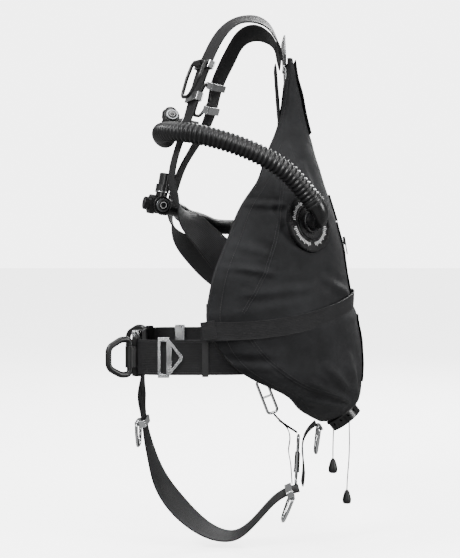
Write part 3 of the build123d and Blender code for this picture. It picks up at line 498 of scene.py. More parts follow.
def wing_side_point(x, z, sign, lift=0.0):
    """The outer cloth seen from the side: the point at x and z on the left (-1) or right (1)."""
    _, back_x, front_x, _, _ = wing_at(z)
    u = min(max((x - front_x) / (back_x - front_x), 0.0), 0.995)
    angle = math.degrees(math.acos(min(1.0, u ** (WING_POWER / 2)))) * sign
    point, normal = wing_point(z, angle)
    return point + normal * lift, normal


def on_back(height, side, lift):
    """Point at a lift above the cloth of the back, at a height and an offset from the middle."""
    half = wing_at(height)[3]
    share = min(abs(side) / half, 1.0)
    angle = math.degrees(math.asin(share ** (WING_POWER / 2))) * (1 if side >= 0 else -1)
    point, _ = wing_point(height, angle)
    return (float(point[0] + lift), side, height), ACROSS


# Pockets that leave the ports and dump valves free: place, axis, radius and how far below the place the cloth ends
PORT_AXES = {sign: unit((0.66, sign * 0.72, 0.20)) for sign in (-1, 1)}
PORTS = {sign: np.array([25.0, sign * 129.0, 4.0]) for sign in (-1, 1)}
VALVE_AXIS = unit((0.61115, 0.0, -0.79151))
POCKETS = [(PORTS[sign], PORT_AXES[sign], 42.5, 4.0) for sign in (-1, 1)]
POCKETS += [(np.array([81.5, sign * 36.0, -284.5]), VALVE_AXIS, 28.0, 1.2) for sign in (-1, 1)]


def clear_of_pockets(point):
    """The point, pushed back where it would fill a pocket."""
    for place, axis, radius, below in POCKETS:
        height = float((point - place) @ axis)
        if height > -below and np.linalg.norm(point - place - axis * height) < radius:
            point = point - axis * (height + below)
    return point


def build_wing():
    rows = 300
    angles = np.degrees(np.arcsin(np.linspace(-1, 1, 181))) * 0.5 + np.linspace(-90, 90, 181) * 0.5
    inner_angles = np.linspace(90, -90, 61)
    heights = np.linspace(WING[0][0] - 0.3, WING[-1][0] + 0.3, rows)
    vertices, uvs = [], []
    for height in heights:
        inner_x, _, front_x, half, side = wing_at(height)
        loop = []
        for angle in angles:
            point, normal = wing_point(height, angle)
            edge = max(0.0, (abs(angle) - 80) / 10)
            loop.append(clear_of_pockets(point - normal * 1.2 * edge ** 2))
        edges = [(front_x - 2.6 * math.sin(math.pi * k / 8), half - k / 8 * side) for k in range(1, 8)]
        loop += [np.array([x, y, height]) for x, y in edges]
        for angle in inner_angles:
            u, v = oval(angle, INNER_POWER)
            p = np.array([front_x + (inner_x - front_x) * u, math.copysign((half - side) * v, angle), height])
            dent = 0.9 * noise.noise(Vector(tuple(p * 0.02)))
            loop.append(p + np.array([dent * u, dent * (1 - u) * math.copysign(1, angle), 0]))
        loop += [np.array([x, -y, height]) for x, y in edges[::-1]]
        run = 0.0
        for index, point in enumerate(loop):
            if index:
                run += float(np.linalg.norm(point - loop[index - 1]))
            vertices.append(point * MM)
            uvs.append((run * MM, height * MM))
    columns = len(vertices) // rows
    faces = [face[::-1] for face in grid_faces(rows, columns)]
    outer, inner = len(angles), len(inner_angles)
    for row in (0, rows - 1):
        start = row * columns
        last = start + outer + 7 + inner - 1
        facing = [last - round(j * (inner - 1) / (outer - 1)) for j in range(outer)]
        caps = []
        for j in range(outer - 1):
            corners = [start + j, start + j + 1, facing[j + 1], facing[j]]
            caps.append(list(dict.fromkeys(corners)))
        caps.append([start + outer - 1 + k for k in range(9)])
        caps.append([last + k for k in range(8)] + [start])
        faces.extend(tuple(cap if row == 0 else cap[::-1]) for cap in caps)
    return new_mesh("wing_shell", vertices, faces, "cordura", uvs)


stand_for(build_wing(), "wing_outer_shell")


def seam_stitches():
    lines = []
    for sign in (-1, 1):
        for seam in (SEAM, LOWER_SEAM):
            dense, _ = spline_rows([(x, 0.0, z) for x, z in seam], 60)
            for offset in (2.6, 6.4):
                line = []
                for i in range(len(dense)):
                    a = dense[max(i - 1, 0)]
                    b = dense[min(i + 1, len(dense) - 1)]
                    along = unit(b - a)
                    x, z = dense[i][0] - along[2] * offset, dense[i][2] + along[0] * offset
                    line.append(wing_side_point(x, z, sign, 0.15))
                lines.append(line)
        front = []
        for z in np.linspace(120, -285, 120):
            _, back_x, front_x, _, _ = wing_at(z)
            front.append(wing_side_point(front_x + 9 + 0.03 * (back_x - front_x), z, sign, 0.15))
        lines.append(front)
    return stitches("wing_stitching", lines, 3.6, 2.6, 0.33)


seam_stitches()

# Piping along the wing's front edges
for label, sign in (("left", -1), ("right", 1)):
    edge = []
    for z in np.linspace(222, -292, 70):
        _, _, front_x, half, side = wing_at(z)
        edge.append((front_x - 1.6, sign * (half - side * 0.45), z))
    ribbon(f"wing_edge_binding_{label}", [((x, y, z), (0.35, sign * 0.94, 0)) for x, y, z in edge], 11.0, 1.5,
           "tape")

# ---------------------------------------------------------------- wing band

BAND_ANGLES = (0, 12, 26, 40, 52, 63, 72, 80, 87)
BAND_LIFT = 2.6


def band_station(angle, side, lift, drop=0.0):
    height = BAND_Z_BACK + (BAND_Z_FRONT - BAND_Z_BACK) * math.sin(math.radians(angle)) ** 2
    point, normal = wing_point(height, angle * side, relief=False)
    point = point + normal * lift
    return ((point[0], point[1], point[2] + drop), (0.08, 0, 1))


def band_row(lift, drop=0.0):
    right = [band_station(angle, 1, lift, drop) for angle in BAND_ANGLES]
    right.append(((-129.0, 189.0, -147.5 + drop), (0.08, 0, 1)))
    left = [band_station(angle, -1, lift, drop) for angle in BAND_ANGLES[1:]]
    left.append(((-129.0, -189.0, -147.5 + drop), (0.08, 0, 1)))
    return left[::-1] + right


stand_for(ribbon("wing_band_webbing", band_row(BAND_LIFT), 26.0, 2.0, wobble=0.8), "wing_band")


def ribbon_lines(rows, offset, lift, start=0.0, end=1.0):
    """A line along webbing, offset across it and lifted off its face."""
    centre, across, normal = ribbon_frames(rows)[:3]
    first, last = int(start * (len(centre) - 1)), int(end * (len(centre) - 1)) + 1
    return [(centre[i] + across[i] * offset + normal[i] * lift, normal[i] * (1 if lift > 0 else -1))
            for i in range(first, last)]


def ribbon_box(rows, start, end, half, lift):
    """A stitched box with a cross, in a stretch of webbing given in millimetres along it."""
    centre, across, normal, _, t = ribbon_frames(rows)

    def at(run, offset):
        i = int(np.argmin(abs(t - run)))
        j = min(i + 1, len(t) - 1)
        share = 0 if j == i else (run - t[i]) / (t[j] - t[i])
        c = centre[i] + (centre[j] - centre[i]) * share
        return c + across[i] * offset + normal[i] * lift, normal[i] * (1 if lift > 0 else -1)

    corners = [(start, -half), (start, half), (end, half), (end, -half), (start, -half), (end, half)]
    lines = []
    for a, b in zip(corners, corners[1:]):
        lines.append([at(a[0] + (b[0] - a[0]) * k / 8, a[1] + (b[1] - a[1]) * k / 8) for k in range(9)])
    lines.append([at(start + (end - start) * k / 8, half - 2 * half * k / 8) for k in range(9)])
    return lines


band_lines = [ribbon_lines(band_row(BAND_LIFT), offset, 1.05) for offset in (-10.5, 10.5)]
band_length = ribbon_frames(band_row(BAND_LIFT))[4][-1]
for start, end in ((4, 22), (62, 74), (84, 98)):
    band_lines += ribbon_box(band_row(BAND_LIFT), start, end, 9.0, 1.1)
    band_lines += ribbon_box(band_row(BAND_LIFT), band_length - end, band_length - start, 9.0, 1.1)
stitches("wing_band_stitching", band_lines, 3.0, 2.1, 0.3)
for label, sign in (("left", -1), ("right", 1)):
    tab = [((-127.5 + 5 * k, sign * (190.8 - 0.02 * k), -147.3 + 0.8 * k), (0.08, 0, 1)) for k in range(5)]
    ribbon(f"wing_band_tab_{label}", tab, 27.0, 1.6)

# ---------------------------------------------------------------- harness webbing

WEB_WIDTH, TAIL_WIDTH, WEB_THICKNESS = 50.0, 38.0, 2.4

LEFT_STRAP = stations(
    (-9.5, -33, 250, 0, 1, 0.1), (-14.0, -37, 270, 0, 0.98, 0.15), (-28.0, -50, 295, 0.1, 0.95, 0.25),
    (-50.0, -64, 305, 0.05, 0.93, 0.33), (-76.0, -73, 302, -0.1, 0.94, 0.33), (-99.0, -82, 284, -0.3, 0.92, 0.2),
    (-114.5, -88, 258, -0.36, 0.92, 0.1), (-125.0, -91.5, 234, -0.36, 0.92, 0.1),
    (-133.5, -93.5, 210, -0.34, 0.93, 0.1), (-140.5, -95.5, 187, -0.3, 0.95, 0.08),
    (-148.5, -98, 160, -0.26, 0.95, 0.08), (-160.0, -101, 125, -0.22, 0.97, 0.05),
    (-170.5, -108, 88, -0.22, 0.97, 0), (-172.0, -114, 62, -0.2, 0.96, -0.1), (-166.0, -121, 40, -0.1, 0.9, -0.35),
    (-148.0, -127, 12, 0.15, 0.8, 0.55), (-126.0, -131, -13, 0.4, 0.66, 0.6), (-104.0, -132, -37, 0.52, 0.45, 0.7),
    (-72.0, -129, -72, 0.6, 0.3, 0.7), (-40.0, -112, -102, 0.45, 0.5, 0.7), (-20.0, -84, -123, 0.1, 0.4, 0.9),
    (-7.5, -58, -133, 0, 0.28, 0.96), (-4.6, -34, -139, 0, 0.2, 0.98),
)
RIGHT_STRAP = stations(
    (-9.5, 33, 250, 0, 1, -0.1), (-14.0, 37, 271, 0, 0.98, -0.15), (-26.0, 50, 296, 0.1, 0.95, -0.25),
    (-47.0, 62, 306, 0.05, 0.93, -0.33), (-70.0, 73, 298, 0.1, 0.94, -0.33), (-89.0, 82, 270, 0.3, 0.92, -0.2),
    (-101.0, 87, 246, 0.34, 0.92, -0.1), (-110.0, 91, 224, 0.32, 0.93, -0.1), (-114.5, 93.5, 205, 0.3, 0.94, -0.1),
    (-118.5, 96, 187, 0.26, 0.95, -0.08), (-126.0, 99, 166, 0.22, 0.96, -0.06),
    (-143.0, 103, 134, 0.16, 0.97, -0.03), (-165.0, 107, 97, 0.14, 0.98, 0), (-181.0, 112, 54, 0.2, 0.96, 0.1),
    (-186.0, 119, 20, 0.1, 0.95, 0.2), (-173.0, 127, -16, -0.2, 0.86, -0.4), (-146.0, 132, -46, -0.45, 0.6, -0.6),
    (-112.0, 132, -76, -0.6, 0.4, -0.65), (-76.0, 125, -98, -0.5, 0.4, -0.7), (-44.0, 110, -112, -0.4, 0.5, -0.7),
    (-20.0, 84, -123, -0.1, 0.4, -0.9), (-7.5, 58, -133, 0, 0.28, -0.96), (-4.6, 34, -139, 0, 0.2, -0.98),
)
CROTCH_STRAP = stations(
    (-223.6, 6, -219, 0, 1, 0), (-224.5, 3, -240, 0.05, 1, 0), (-225.5, 0, -262, 0.15, 0.97, 0),
    (-224.0, 0, -284, 0.08, 0.98, 0), (-221.5, 0, -304, 0.05, 0.99, 0), (-217.0, 0, -330, 0.1, 0.97, 0),
    (-209.0, 0, -362, 0.2, 0.95, 0), (-197.0, 0, -396, 0.34, 0.92, 0.1), (-175.0, 0, -430, 0.38, 0.88, 0.25),
    (-143.0, 0, -462, 0.22, 0.92, 0.28), (-108.0, 0, -482, 0.06, 0.98, 0.16), (-81.0, 0, -484, 0, 0.99, 0.05),
    (-54.0, 0, -466, 0, 1, 0), (-34.0, 0, -444, 0, 1, 0), (-14.0, 0, -424, 0, 1, 0), (5.0, 0, -413.5, 0, 1, 0),
    (20.0, 0, -409, 0, 1, 0),
)
TAIL_STRAP = stations(
    (25.0, 0, -403, 0, 1, 0), (27.0, 0, -386, 0, 1, 0), (26.0, 0, -360, 0.05, 1, 0), (25.5, 0, -338, 0.08, 1, 0),
    (33.0, 0, -319, 0.08, 1, 0), (46.0, 0, -306, 0, 1, 0),
)


def soft_strap(node, rows, boxes=(), lines=(), width=WEB_WIDTH, thickness=WEB_THICKNESS, name=None):
    """Webbing that stands for a CAD node, with its lines and boxes of stitching on both faces."""
    piece = ribbon(name or f"{node}_webbing", rows, width, thickness)
    sewn = []
    lifts = (thickness / 2 + 0.05, -thickness / 2 - 0.05)
    for offset, start, end in lines:
        sewn += [ribbon_lines(rows, offset, lift, start, end) for lift in lifts]
    for start, end in boxes:
        for lift in lifts:
            sewn += ribbon_box(rows, start, end, width / 2 - 4, lift)
    stitches(f"{node}_stitching", sewn, 3.2, 2.2, 0.32)
    stand_for(piece, node)


for side, strap in (("left", LEFT_STRAP), ("right", RIGHT_STRAP)):
    soft_strap(f"shoulder_strap_{side}", strap, boxes=((4, 26),))

BELT_SLOPE = math.tan(math.radians(1.5))  # the belt rises towards the left
soft_strap("crotch_strap", CROTCH_STRAP, boxes=((30, 62), (112, 126)))


def crotch_loop():
    """Folded end of the crotch strap, round the belt."""
    centre, steps = (-228.0, 6.0, -190.0), 32
    depth, height = 2.6, 27.2
    vertices = []
    for step in range(steps):
        angle = 2 * math.pi * step / steps
        x = math.copysign(abs(math.sin(angle)) ** 0.5, math.sin(angle))
        z = math.copysign(min(1.0, abs(math.cos(angle)) * 1.35) ** 0.6, math.cos(angle))
        length = math.hypot(x, z)
        for dy, grow in ((-13, 0.0), (-12.6, 0.9), (12.6, 0.9), (13, 0.0), (12.6, -0.5), (-12.6, -0.5)):
            vertices.append(((centre[0] + x * depth + grow * x / length) * MM, (centre[1] + dy) * MM,
                             (centre[2] + z * height + grow * z / length - BELT_SLOPE * (centre[1] + dy)) * MM))
    return new_mesh("crotch_strap_loop", vertices, grid_faces(steps, 6, wrap=True), "webbing")


crotch_loop()
soft_strap("tail_strap", TAIL_STRAP, boxes=((4, 22), (76, 96)), width=TAIL_WIDTH)

# Waist belt: a rounded loop with a gap at the buckle
BELT_BACK, BELT_FRONT, BELT_LEFT, BELT_RIGHT = -1.8, -228.0, -165.0, 140.0
BELT_BACK_R, BELT_FRONT_R, BELT_Z, BUCKLE_Y = 95.0, 38.0, -190.0, -26.0


def belt_path():
    """Corner arcs and runs from one side of the buckle gap round the back to the other."""
    corners = [(BELT_FRONT, BELT_LEFT, BELT_FRONT_R, 180, 270), (BELT_BACK, BELT_LEFT, BELT_BACK_R, 270, 360),
               (BELT_BACK, BELT_RIGHT, BELT_BACK_R, 0, 90), (BELT_FRONT, BELT_RIGHT, BELT_FRONT_R, 90, 180)]
    points = [(BELT_FRONT, y) for y in np.linspace(BUCKLE_Y - 17, BELT_LEFT + BELT_FRONT_R + 4, 12)]
    for x, y, radius, start, end in corners:
        cx = x + radius if x < -100 else x - radius
        cy = y + radius if y < 0 else y - radius
        for angle in np.linspace(start, end, 12):
            turn = math.radians(angle)
            points.append((cx + radius * math.cos(turn), cy + radius * math.sin(turn)))
    points += [(BELT_FRONT, y) for y in np.linspace(BELT_RIGHT - BELT_FRONT_R - 4, BUCKLE_Y + 17, 18)]
    return [((x, y, BELT_Z - BELT_SLOPE * y), (0, 0.026, 1)) for x, y in points]


soft_strap("waist_belt", belt_path(), lines=[(offset, 0.13, 0.30) for offset in (-21.5, 21.5)])

# ---------------------------------------------------------------- hoses and cords


def route_points(name, route):
    """Points read from the smooth line of a route, in metres."""
    data = bpy.data.curves.new(f"{name}_line", "CURVE")
    data.dimensions = "3D"
    spline = data.splines.new("NURBS")
    spline.points.add(len(route) - 1)
    for point, co in zip(spline.points, route):
        point.co = (co[0] * MM, co[1] * MM, co[2] * MM, 1.0)
    spline.order_u = 3
    spline.use_endpoint_u = True
    spline.resolution_u = 24
    holder = new_object(f"{name}_line", data)
    mesh = bpy.data.meshes.new_from_object(holder)
    points = np.array([v.co[:] for v in mesh.vertices])
    bpy.data.objects.remove(holder)
    bpy.data.meshes.remove(mesh)
    return points


def swept(name, points, radius_at, material, step, sides=40, body="harness"):
    """Round tube along points in metres, whose radius in metres is a function of the run along it."""
    distance = runs_along(points)
    total = float(distance[-1])
    runs = np.linspace(0, total, max(8, int(total / step)))
    centre = np.stack([np.interp(runs, distance, points[:, i]) for i in range(3)], axis=1)
    kernel = max(1, int(0.006 / step))
    soft = centre.copy()
    for _ in range(2):
        for i in range(kernel, len(centre) - kernel):
            soft[i] = centre[i - kernel:i + kernel + 1].mean(axis=0)
        centre = soft.copy()
    along = unit(np.gradient(centre, axis=0))
    side = np.cross(along[0], (0.0, 0.0, 1.0))
    vertices, uvs = [], []
    for i, run in enumerate(runs):
        side = unit(side - along[i] * (side @ along[i]))
        up = np.cross(along[i], side)
        r = radius_at(run, total)
        for k in range(sides):
            a = 2 * math.pi * k / sides
            vertices.append(centre[i] + (side * math.cos(a) + up * math.sin(a)) * r)
            uvs.append((k / sides * 0.09, run))
    faces = [face[::-1] for face in grid_faces(len(runs), sides) + end_caps(len(runs), sides)]
    return new_mesh(name, vertices, faces, material, uvs, body=body), total


def corrugated(outer, cuff_start, cuff_end, pitch):
    """Radius of a corrugated hose with smooth cuffs, in metres."""
    def radius(run, total):
        if run < cuff_start or run > total - cuff_end:
            lip = 0.0006 if (run % 0.011) < 0.0022 else 0.0
            return outer * 0.95 + lip
        phase = ((run - cuff_start) / pitch) % 1.0
        wave = 0.5 + 0.5 * math.cos(2 * math.pi * (phase - 0.5))
        return outer * (0.83 + 0.17 * wave ** 0.6)
    return radius


HOSE_PRIMARY = [
    (33.2, -158.2, 29.5), (19.5, -161.8, 46.3),
    (-6, -171, 75.5), (-38, -174, 96), (-74, -172, 112), (-111, -166, 124), (-145, -154, 132), (-171, -131, 136),
    (-187, -96, 137.5), (-191, -54, 138), (-192, -8, 137), (-191, 38, 137.5), (-191, 84, 140.5),
    (-190.7, 117.6, 147.4), (-190.7, 138.9, 152.9),
]
HOSE_REDUNDANT = [
    (29.0, 167.9, 9.0), (11.3, 180.9, 7.3),
    (-23, 201, 4), (-57, 208, 0), (-87, 196, -2), (-107, 168, -1), (-118, 133, 1), (-124, 96, 4), (-131, 60, 7),
    (-140, 25, 10), (-149, -8, 12),
    (-156.8, -35.3, 14.8), (-163.2, -55.4, 21.3),
]
for name, route, radius, pitch, cuffs in (
    ("primary", HOSE_PRIMARY, 14.5, 0.0068, (0.014, 0.016)),
    ("redundant", HOSE_REDUNDANT, 12.5, 0.0052, (0.014, 0.024)),
):
    line = route_points(f"hose_{name}", route)
    hose, total = swept(f"inflator_hose_{name}_corrugated", line, corrugated(radius * MM, *cuffs, pitch),
                        "hose_rubber", pitch / 12)
    stand_for(hose, f"inflator_hose_{name}")

CORD_PATHS = {
    "left": [(70.5, -37.0, -301.0), (70.2, -37.4, -318.0), (69.4, -36.8, -337.0), (69.6, -37.2, -355.0)],
    "right": [(101.5, 40.0, -291.0), (102.3, 40.4, -318.0), (102.9, 39.6, -346.0), (102.0, 40.3, -376.0),
              (99.6, 39.8, -400.0), (99.0, 40.1, -421.0)],
}


def braid(run, total):
    return 0.00094 + 0.00008 * math.sin(run * 2 * math.pi / 0.0016)


for side, route in CORD_PATHS.items():
    line = route_points(f"pull_cord_{side}", route)
    cord, total = swept(f"pull_cord_{side}_braid", line, braid, "cord", 0.0004, 12, body=f"pull_{side}")
    stand_for(cord, f"pull_cord_{side}")

# ---------------------------------------------------------------- lathed detail pieces


def basis(z_axis, x_hint):
    z = unit(z_axis)
    x = np.array(x_hint, dtype=float)
    x = unit(x - z * (x @ z))
    return np.stack([x, np.cross(z, x), z])


def turned_points(origin, axes, profile, sides, flute=None):
    """Points of a turned profile; flute(angle, radius, height) is added to the radius."""
    points = []
    for r, h in profile:
        for k in range(sides):
            a = 2 * math.pi * k / sides
            radial = axes[0] * math.cos(a) + axes[1] * math.sin(a)
            points.append((origin + radial * (r + (flute(a, r, h) if flute else 0.0)) + axes[2] * h) * MM)
    return points


def lathe(name, origin, axes, profile, material, sides=48, body="harness", flute=None):
    """Turned piece: profile is (radius, height) pairs in millimetres from one end on the axis to the other."""
    vertices = turned_points(origin, axes, profile, sides, flute)
    faces = grid_faces(len(profile), sides) + end_caps(len(profile), sides)
    obj = new_mesh(name, vertices, faces, material, body=body)
    edge = obj.modifiers.new("edges", "BEVEL")
    edge.width = 0.00025
    edge.segments = 2
    edge.limit_method = "ANGLE"
    edge.angle_limit = math.radians(40)
    return obj


def band_ring(name, origin, axes, inner, outer, low, high, material, body="harness", flute=None, sides=64):
    """Closed ring with chamfered outer edges."""
    profile = [(inner, low), (outer - 0.3, low), (outer, low + 0.3), (outer, high - 0.3), (outer - 0.3, high),
               (inner, high)]
    outside = (lambda a, r, h: flute(a, r, h) if r > inner else 0.0) if flute else None
    vertices = turned_points(origin, axes, profile, sides, outside)
    return new_mesh(name, vertices, grid_faces(len(profile), sides, wrap=True), material, body=body)


INFLATORS = {
    "primary": ((-189.5, 165.2, 176.0), (0.050153, 0.551685, 0.832543), (-0.253251, 0.813373, -0.523726)),
    "redundant": ((-192.0, -78.0, 30.5), (-0.934732, -0.311577, 0.170865), (-0.316926, 0.948441, -0.004262)),
}
for name, (centre, z_axis, y_axis) in INFLATORS.items():
    z, y, c = np.array(z_axis), np.array(y_axis), np.array(centre)
    x = np.cross(y, z)
    front, top, mouth = np.stack([x, np.cross(-y, x), -y]), np.stack([x, y, z]), np.stack([y, z, x])
    button = c - y * 20.5
    # ring round the inflate button, with fine grip ribs
    band_ring(f"inflator_bezel_{name}", c, front, 11.5, 13.3, 12.2, 17.6, "gloss_plastic",
              flute=lambda a, r, h: 0.22 * math.cos(a * 30))
    # knurled collar under the deflate button
    band_ring(f"inflator_collar_{name}", c, top, 12.7, 13.4, -6.5, -1.5, "gloss_plastic",
              flute=lambda a, r, h: 0.3 * math.cos(a * 24))
    # light clamp ring at the neck of the mouthpiece
    band_ring(f"mouthpiece_clamp_{name}", c, mouth, 8.75, 10.9, 19.3, 20.6, "steel")
    for k, low in enumerate((-11.0, -8.9)):
        band_ring(f"cuff_tie_{name}_{k}", c, top, 12.6, 13.5, low, low + 1.2, "matte_plastic")
    # plain inlay on the inflate button, with a ring of generic pips
    lathe(f"inflate_inlay_{name}", button, front, [(7.6, 0.02), (7.6, 0.5), (7.2, 0.7), (0.4, 0.8)],
          "gloss_plastic", body=f"inflate_{name}")
    band_ring(f"inflate_ring_{name}", button, front, 4.1, 4.7, 0.6, 0.95, "pale_print", body=f"inflate_{name}")
    # grip ribs and hollow on the deflate button
    lathe(f"deflate_cap_{name}", c + z * 24.0, top,
          [(8.9, 0.0), (8.9, 0.7), (8.3, 1.1), (3.4, 1.1), (2.8, 0.7), (0.3, 0.7)], "gloss_plastic",
          body=f"deflate_{name}", flute=lambda a, r, h: 0.18 * math.cos(a * 22) if r > 8 else 0.0)

# Marks on the flange rims and the rims' raised knurling
for label, sign in (("left", -1), ("right", 1)):
    origin, axis = PORTS[sign], PORT_AXES[sign]
    axes = basis(axis, (0, 0, 1))
    vertices, faces = [], []
    for step in range(72):
        if step % 18 in (0, 1, 17):
            continue
        a = 2 * math.pi * step / 72
        radial = axes[0] * math.cos(a) + axes[1] * math.sin(a)
        tangent = np.cross(axis, radial)
        length = 4.2 if step % 3 else 6.0
        faces += small_box(len(vertices))
        for r, h in ((28.5, 2.2), (28.5 + length, 2.2), (28.5 + length, 2.55), (28.5, 2.55)):
            vertices += [(origin + radial * r + tangent * 0.5 * s + axis * h) * MM for s in (-1, 1)]
    new_mesh(f"flange_marks_{label}", vertices, faces, "pale_print", smooth=False)
    band_ring(f"flange_bezel_{label}", origin, axes, 24.9, 26.6, 2.2, 4.0, "gloss_plastic",
              flute=lambda a, r, h: 0.25 * math.cos(a * 45), sides=180)
    # elbow collar
    band_ring(f"elbow_collar_{label}", origin, axes, 13.1, 15.6, 5.1, 9.0, "gloss_plastic",
              flute=lambda a, r, h: 0.3 * math.cos(a * 28), sides=112)

for label, route, radius in (("left", HOSE_PRIMARY, 14.5), ("right", HOSE_REDUNDANT, 12.5)):
    a, b = np.array(route[0]), np.array(route[1])
    along = unit(b - a)
    axes = basis(along, (0, 0, 1))
    for k, start in enumerate((2.0, 8.0)):
        band_ring(f"hose_clamp_{label}_{k}", a, axes, radius * 0.94, radius * 1.03, start, start + 2.4,
                  "matte_plastic")

# ---------------------------------------------------------------- back pad, straps on the wing, link


PAD_FOOT, PAD_HEAD = -104.0, 247.4


def pad_outline(v):
    """Half width of the pad at height v."""
    return float(np.interp(v, (-104, 30, 104, 247), (56.5, 56.5, 34.0, 31.5)))


def pad_x(v):
    """Front and back of the pad at height v."""
    heights = (-104, 62, 134, 247)
    return float(np.interp(v, heights, (0, 0, -12.5, -21))), float(np.interp(v, heights, (5, 5, -8, -17)))


def build_pad():
    rows, columns = 150, 56
    vertices, uvs = [], []
    for i in range(rows):
        v = PAD_FOOT + 0.6 + (PAD_HEAD - 1.0 - PAD_FOOT - 0.6) * i / (rows - 1)
        half = pad_outline(v)
        end = min(1.0, min(v - PAD_FOOT, PAD_HEAD - v) / 9.0)
        half *= 0.86 + 0.14 * math.sqrt(max(0.0, 1 - (1 - end) ** 2))
        front, back = pad_x(v)
        middle, depth = (front + back) / 2, (back - front) / 2
        for j in range(columns):
            a = 2 * math.pi * j / columns
            c, s = math.cos(a), math.sin(a)
            y = half * math.copysign(abs(c) ** 0.55, c)
            swell = math.copysign(abs(s) ** 0.8, s)
            tuft = 0.0
            for seam in (-17.0, 17.0):
                tuft += 0.9 * bell(y - seam, 1.8) if half > 40 else 0.0
            for seam in (-55, 0, 55, 110, 165):
                tuft += 0.8 * bell(v - seam, 1.8)
            x = middle + (depth * (0.35 + 0.65 * end) - min(tuft, 1.2)) * swell
            x += 0.25 * noise.noise(Vector((y * 0.05, v * 0.05, s)))
            vertices.append((x * MM, y * MM, v * MM))
            uvs.append((y * MM, v * MM))
    faces = grid_faces(rows, columns) + end_caps(rows, columns)
    return new_mesh("back_pad_cushion", vertices, faces, "pad_cloth", uvs)


stand_for(build_pad(), "back_pad")

THIN_WEB, COVER_LIFT = 2.0, 1.8
cover_rows = [((11.5, 0, 252), ACROSS)] + [on_back(height, 0, COVER_LIFT) for height in (222, 202, 182, 162, 142)]
soft_strap("back_cover_straps", cover_rows, boxes=((5, 24), (92, 112)), thickness=THIN_WEB,
           name="back_cover_webbing")
tab_rows = [on_back(height, 0, COVER_LIFT) for height in (48, 28, 8)]
ribbon("zip_tab_webbing", tab_rows, WEB_WIDTH, THIN_WEB)
stitches("zip_tab_stitching", ribbon_box(tab_rows, 4, 38, 20.0, THIN_WEB / 2 + 0.05), 3.2, 2.2, 0.32)

spine_rows = stations((5.2, 0, -208), (5.2, 0, -172), (5.2, 0, -136))
stand_for(ribbon("spine_strap_webbing", spine_rows, WEB_WIDTH, WEB_THICKNESS), "spine_strap")

# Webbing of the link under the lumbar plate
LINK_TOP, LINK_AXIS, LINK_LENGTH = np.array([-40.0, 0, -240.0]), unit((0.36, 0, -0.93)), 54.0
foot = LINK_TOP + LINK_AXIS * (LINK_LENGTH + 2.6)
anchor_rows = stations((-1.6, 0, -219.0), (-14, 0, -226), (-28, 0, -231), (-37.0, 0, -235.0))
anchor = ribbon("link_anchor_webbing", anchor_rows, 20.0, THIN_WEB)
lower_rows = stations(tuple(foot), (-7, 0, -305.5), (8, 0, -316), (16.6, 0, -321.5))
ribbon("link_lower_webbing", lower_rows, 14.0, THIN_WEB)
keeper_rows = stations((-12, 0, -303), (0, 0, -313), (5.5, 0, -332), (3.5, 0, -349), (6.0, 0, -366),
                       (8.0, 0, -386), (9.0, 0, -402))
ribbon("link_keeper_webbing", keeper_rows, 9.0, 1.6)
stand_for(anchor, "link_straps")

# Zipper: chain of coil teeth down the middle of each tape, and binding beside it
ZIP_ENDS = {"upper": ((6, -38), (-98, -34)), "lower": ((-134, -34), (-236, -34))}


def tape_row(name):
    """Stations down a tape, between the height and the offset of its two ends."""
    (top, start), (foot, end) = ZIP_ENDS[name]
    return [on_back(h, s, 0.9) for h, s in zip(np.linspace(top, foot, 14), np.linspace(start, end, 14))]


for name in ZIP_ENDS:
    tape = ribbon(f"zip_tape_{name}", tape_row(name), 24.0, 1.0, "tape")
    if name == "upper":
        stand_for(tape, "zipper_tapes")
    centre, across, normal, along, _ = ribbon_frames(tape_row(name))
    vertices, faces = [], []
    outward = 1 if normal[0][0] > 0 else -1
    for i in range(len(centre)):
        for sign in (-1, 1):
            faces += small_box(len(vertices))
            for run, lift in ((-0.62, 0.57), (0.62, 0.57), (0.62, 1.45), (-0.62, 1.45)):
                root = centre[i] + along[i] * (run + 0.5 * sign) + normal[i] * outward * lift
                vertices += [(root + across[i] * sign * reach) * MM for reach in (0.1, 2.3)]
    new_mesh(f"zip_teeth_{name}", vertices, faces, "button_steel", smooth=False)
    lines = [ribbon_lines(tape_row(name), offset, outward * 0.55) for offset in (-10.4, 10.4)]
    stitches(f"zip_stitching_{name}", lines, 3.0, 2.1, 0.28)

# ---------------------------------------------------------------- CAD nodes with finished materials

for item in frame["record"]["subparts"]:
    obj = NODES[item["node"]]
    for slot in obj.material_slots:
        slot.material = MAT[item["material_slot"]]
NODES["belt_keeper_loops"].material_slots[0].material = MAT["matte_plastic"]

# Valve springs, copied from the CAD springs onto meshes of their own
for side in ("left", "right"):
    source = NODES[f"dump_spring_{side}"]
    coil = new_object(f"dump_coil_{side}", source.data.copy())
    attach(coil, "harness")
    stand_for(coil, f"dump_spring_{side}")
    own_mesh(coil)

# ---------------------------------------------------------------- floor, light

FLOOR_HALF, FLOOR_Z, FLOOR_GLOW = 12, -0.4995, 3.4
floor_mesh = bpy.data.meshes.new("floor")
corners = [(x * FLOOR_HALF, y * FLOOR_HALF, FLOOR_Z) for x, y in ((-1, -1), (1, -1), (1, 1), (-1, 1))]
floor_mesh.from_pydata(corners, [], [(0, 1, 2, 3)])
floor = new_object("floor", floor_mesh)
paper = Nodes("floor_paper")
tooth = paper.bump(paper.noise(paper.coords["Object"], 60.0, 3.0), 0.05, 0.001)
floor_mesh.materials.append(paper.finish(
    Base_Color=(0.9, 0.9, 0.9, 1.0), Roughness=0.9, Specular_IOR_Level=0.0,
    Emission_Color=(1.0, 1.0, 1.0, 1.0), Emission_Strength=FLOOR_GLOW, Normal=tooth))
floor.visible_diffuse = False
floor.visible_glossy = False


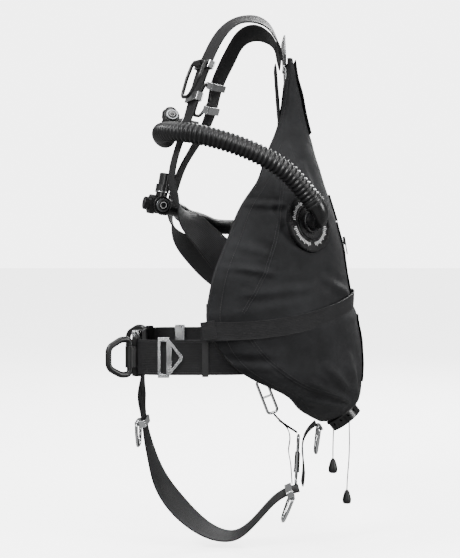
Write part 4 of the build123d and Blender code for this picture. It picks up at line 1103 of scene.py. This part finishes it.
def area_light(name, place, target, size, power):
    data = bpy.data.lights.new(name, "AREA")
    data.shape = "RECTANGLE"
    data.size, data.size_y = size
    data.energy = power
    aim(new_object(name, data), place, target)


area_light("key", (-1.5, -1.2, 1.6), (-0.05, 0, 0), (0.6, 0.6), 78)
area_light("side", (1.7, -0.9, 0.4), (0, 0, -0.05), (0.4, 1.4), 46)
area_light("front", (-0.6, -2.6, 0.7), (-0.09, 0, -0.08), (0.5, 1.6), 34)
area_light("back", (0.6, 1.7, 1.1), (-0.05, 0, 0), (1.0, 0.8), 56)
area_light("top", (-0.1, -0.1, 1.8), (-0.05, 0, 0), (1.2, 1.2), 34)

# Pale studio, with darker flags round the horizon that only lights and reflections see
BACKDROP_STRENGTH, STUDIO_STRENGTH = 5.0, 0.8
FLAGS = ((0.0, 0.75), (0.22, 0.45), (0.34, 0.10), (0.46, 0.55), (0.62, 0.16), (0.78, 1.0))
world = bpy.data.worlds.new("studio")
world.use_nodes = True
sky = Nodes(world)
across_sky, _, up_sky = sky.split(sky.coords["Generated"])
height = sky.add("ShaderNodeMapRange", Value=up_sky, From_Min=-0.5, From_Max=0.9).outputs["Result"]
swing = sky.math("SINE", sky.math("MULTIPLY", across_sky, 4.0))
level = sky.math("ADD", sky.math("MULTIPLY", swing, 0.16), height)
flags = sky.ramp(level, *((place, (grey, grey, grey)) for place, grey in FLAGS))
studio = sky.add("ShaderNodeBackground", Color=flags, Strength=STUDIO_STRENGTH)
plain = sky.tree.nodes["Background"]
plain.inputs["Color"].default_value = (1.0, 1.0, 1.0, 1.0)
plain.inputs["Strength"].default_value = BACKDROP_STRENGTH
choose = sky.tree.nodes.new("ShaderNodeMixShader")
rays = sky.tree.nodes.new("ShaderNodeLightPath")
for socket, source in enumerate((rays.outputs["Is Camera Ray"], studio.outputs[0], plain.outputs[0])):
    sky.tree.links.new(source, choose.inputs[socket])
sky.tree.links.new(choose.outputs[0], sky.tree.nodes["World Output"].inputs["Surface"])
bpy.context.scene.world = world
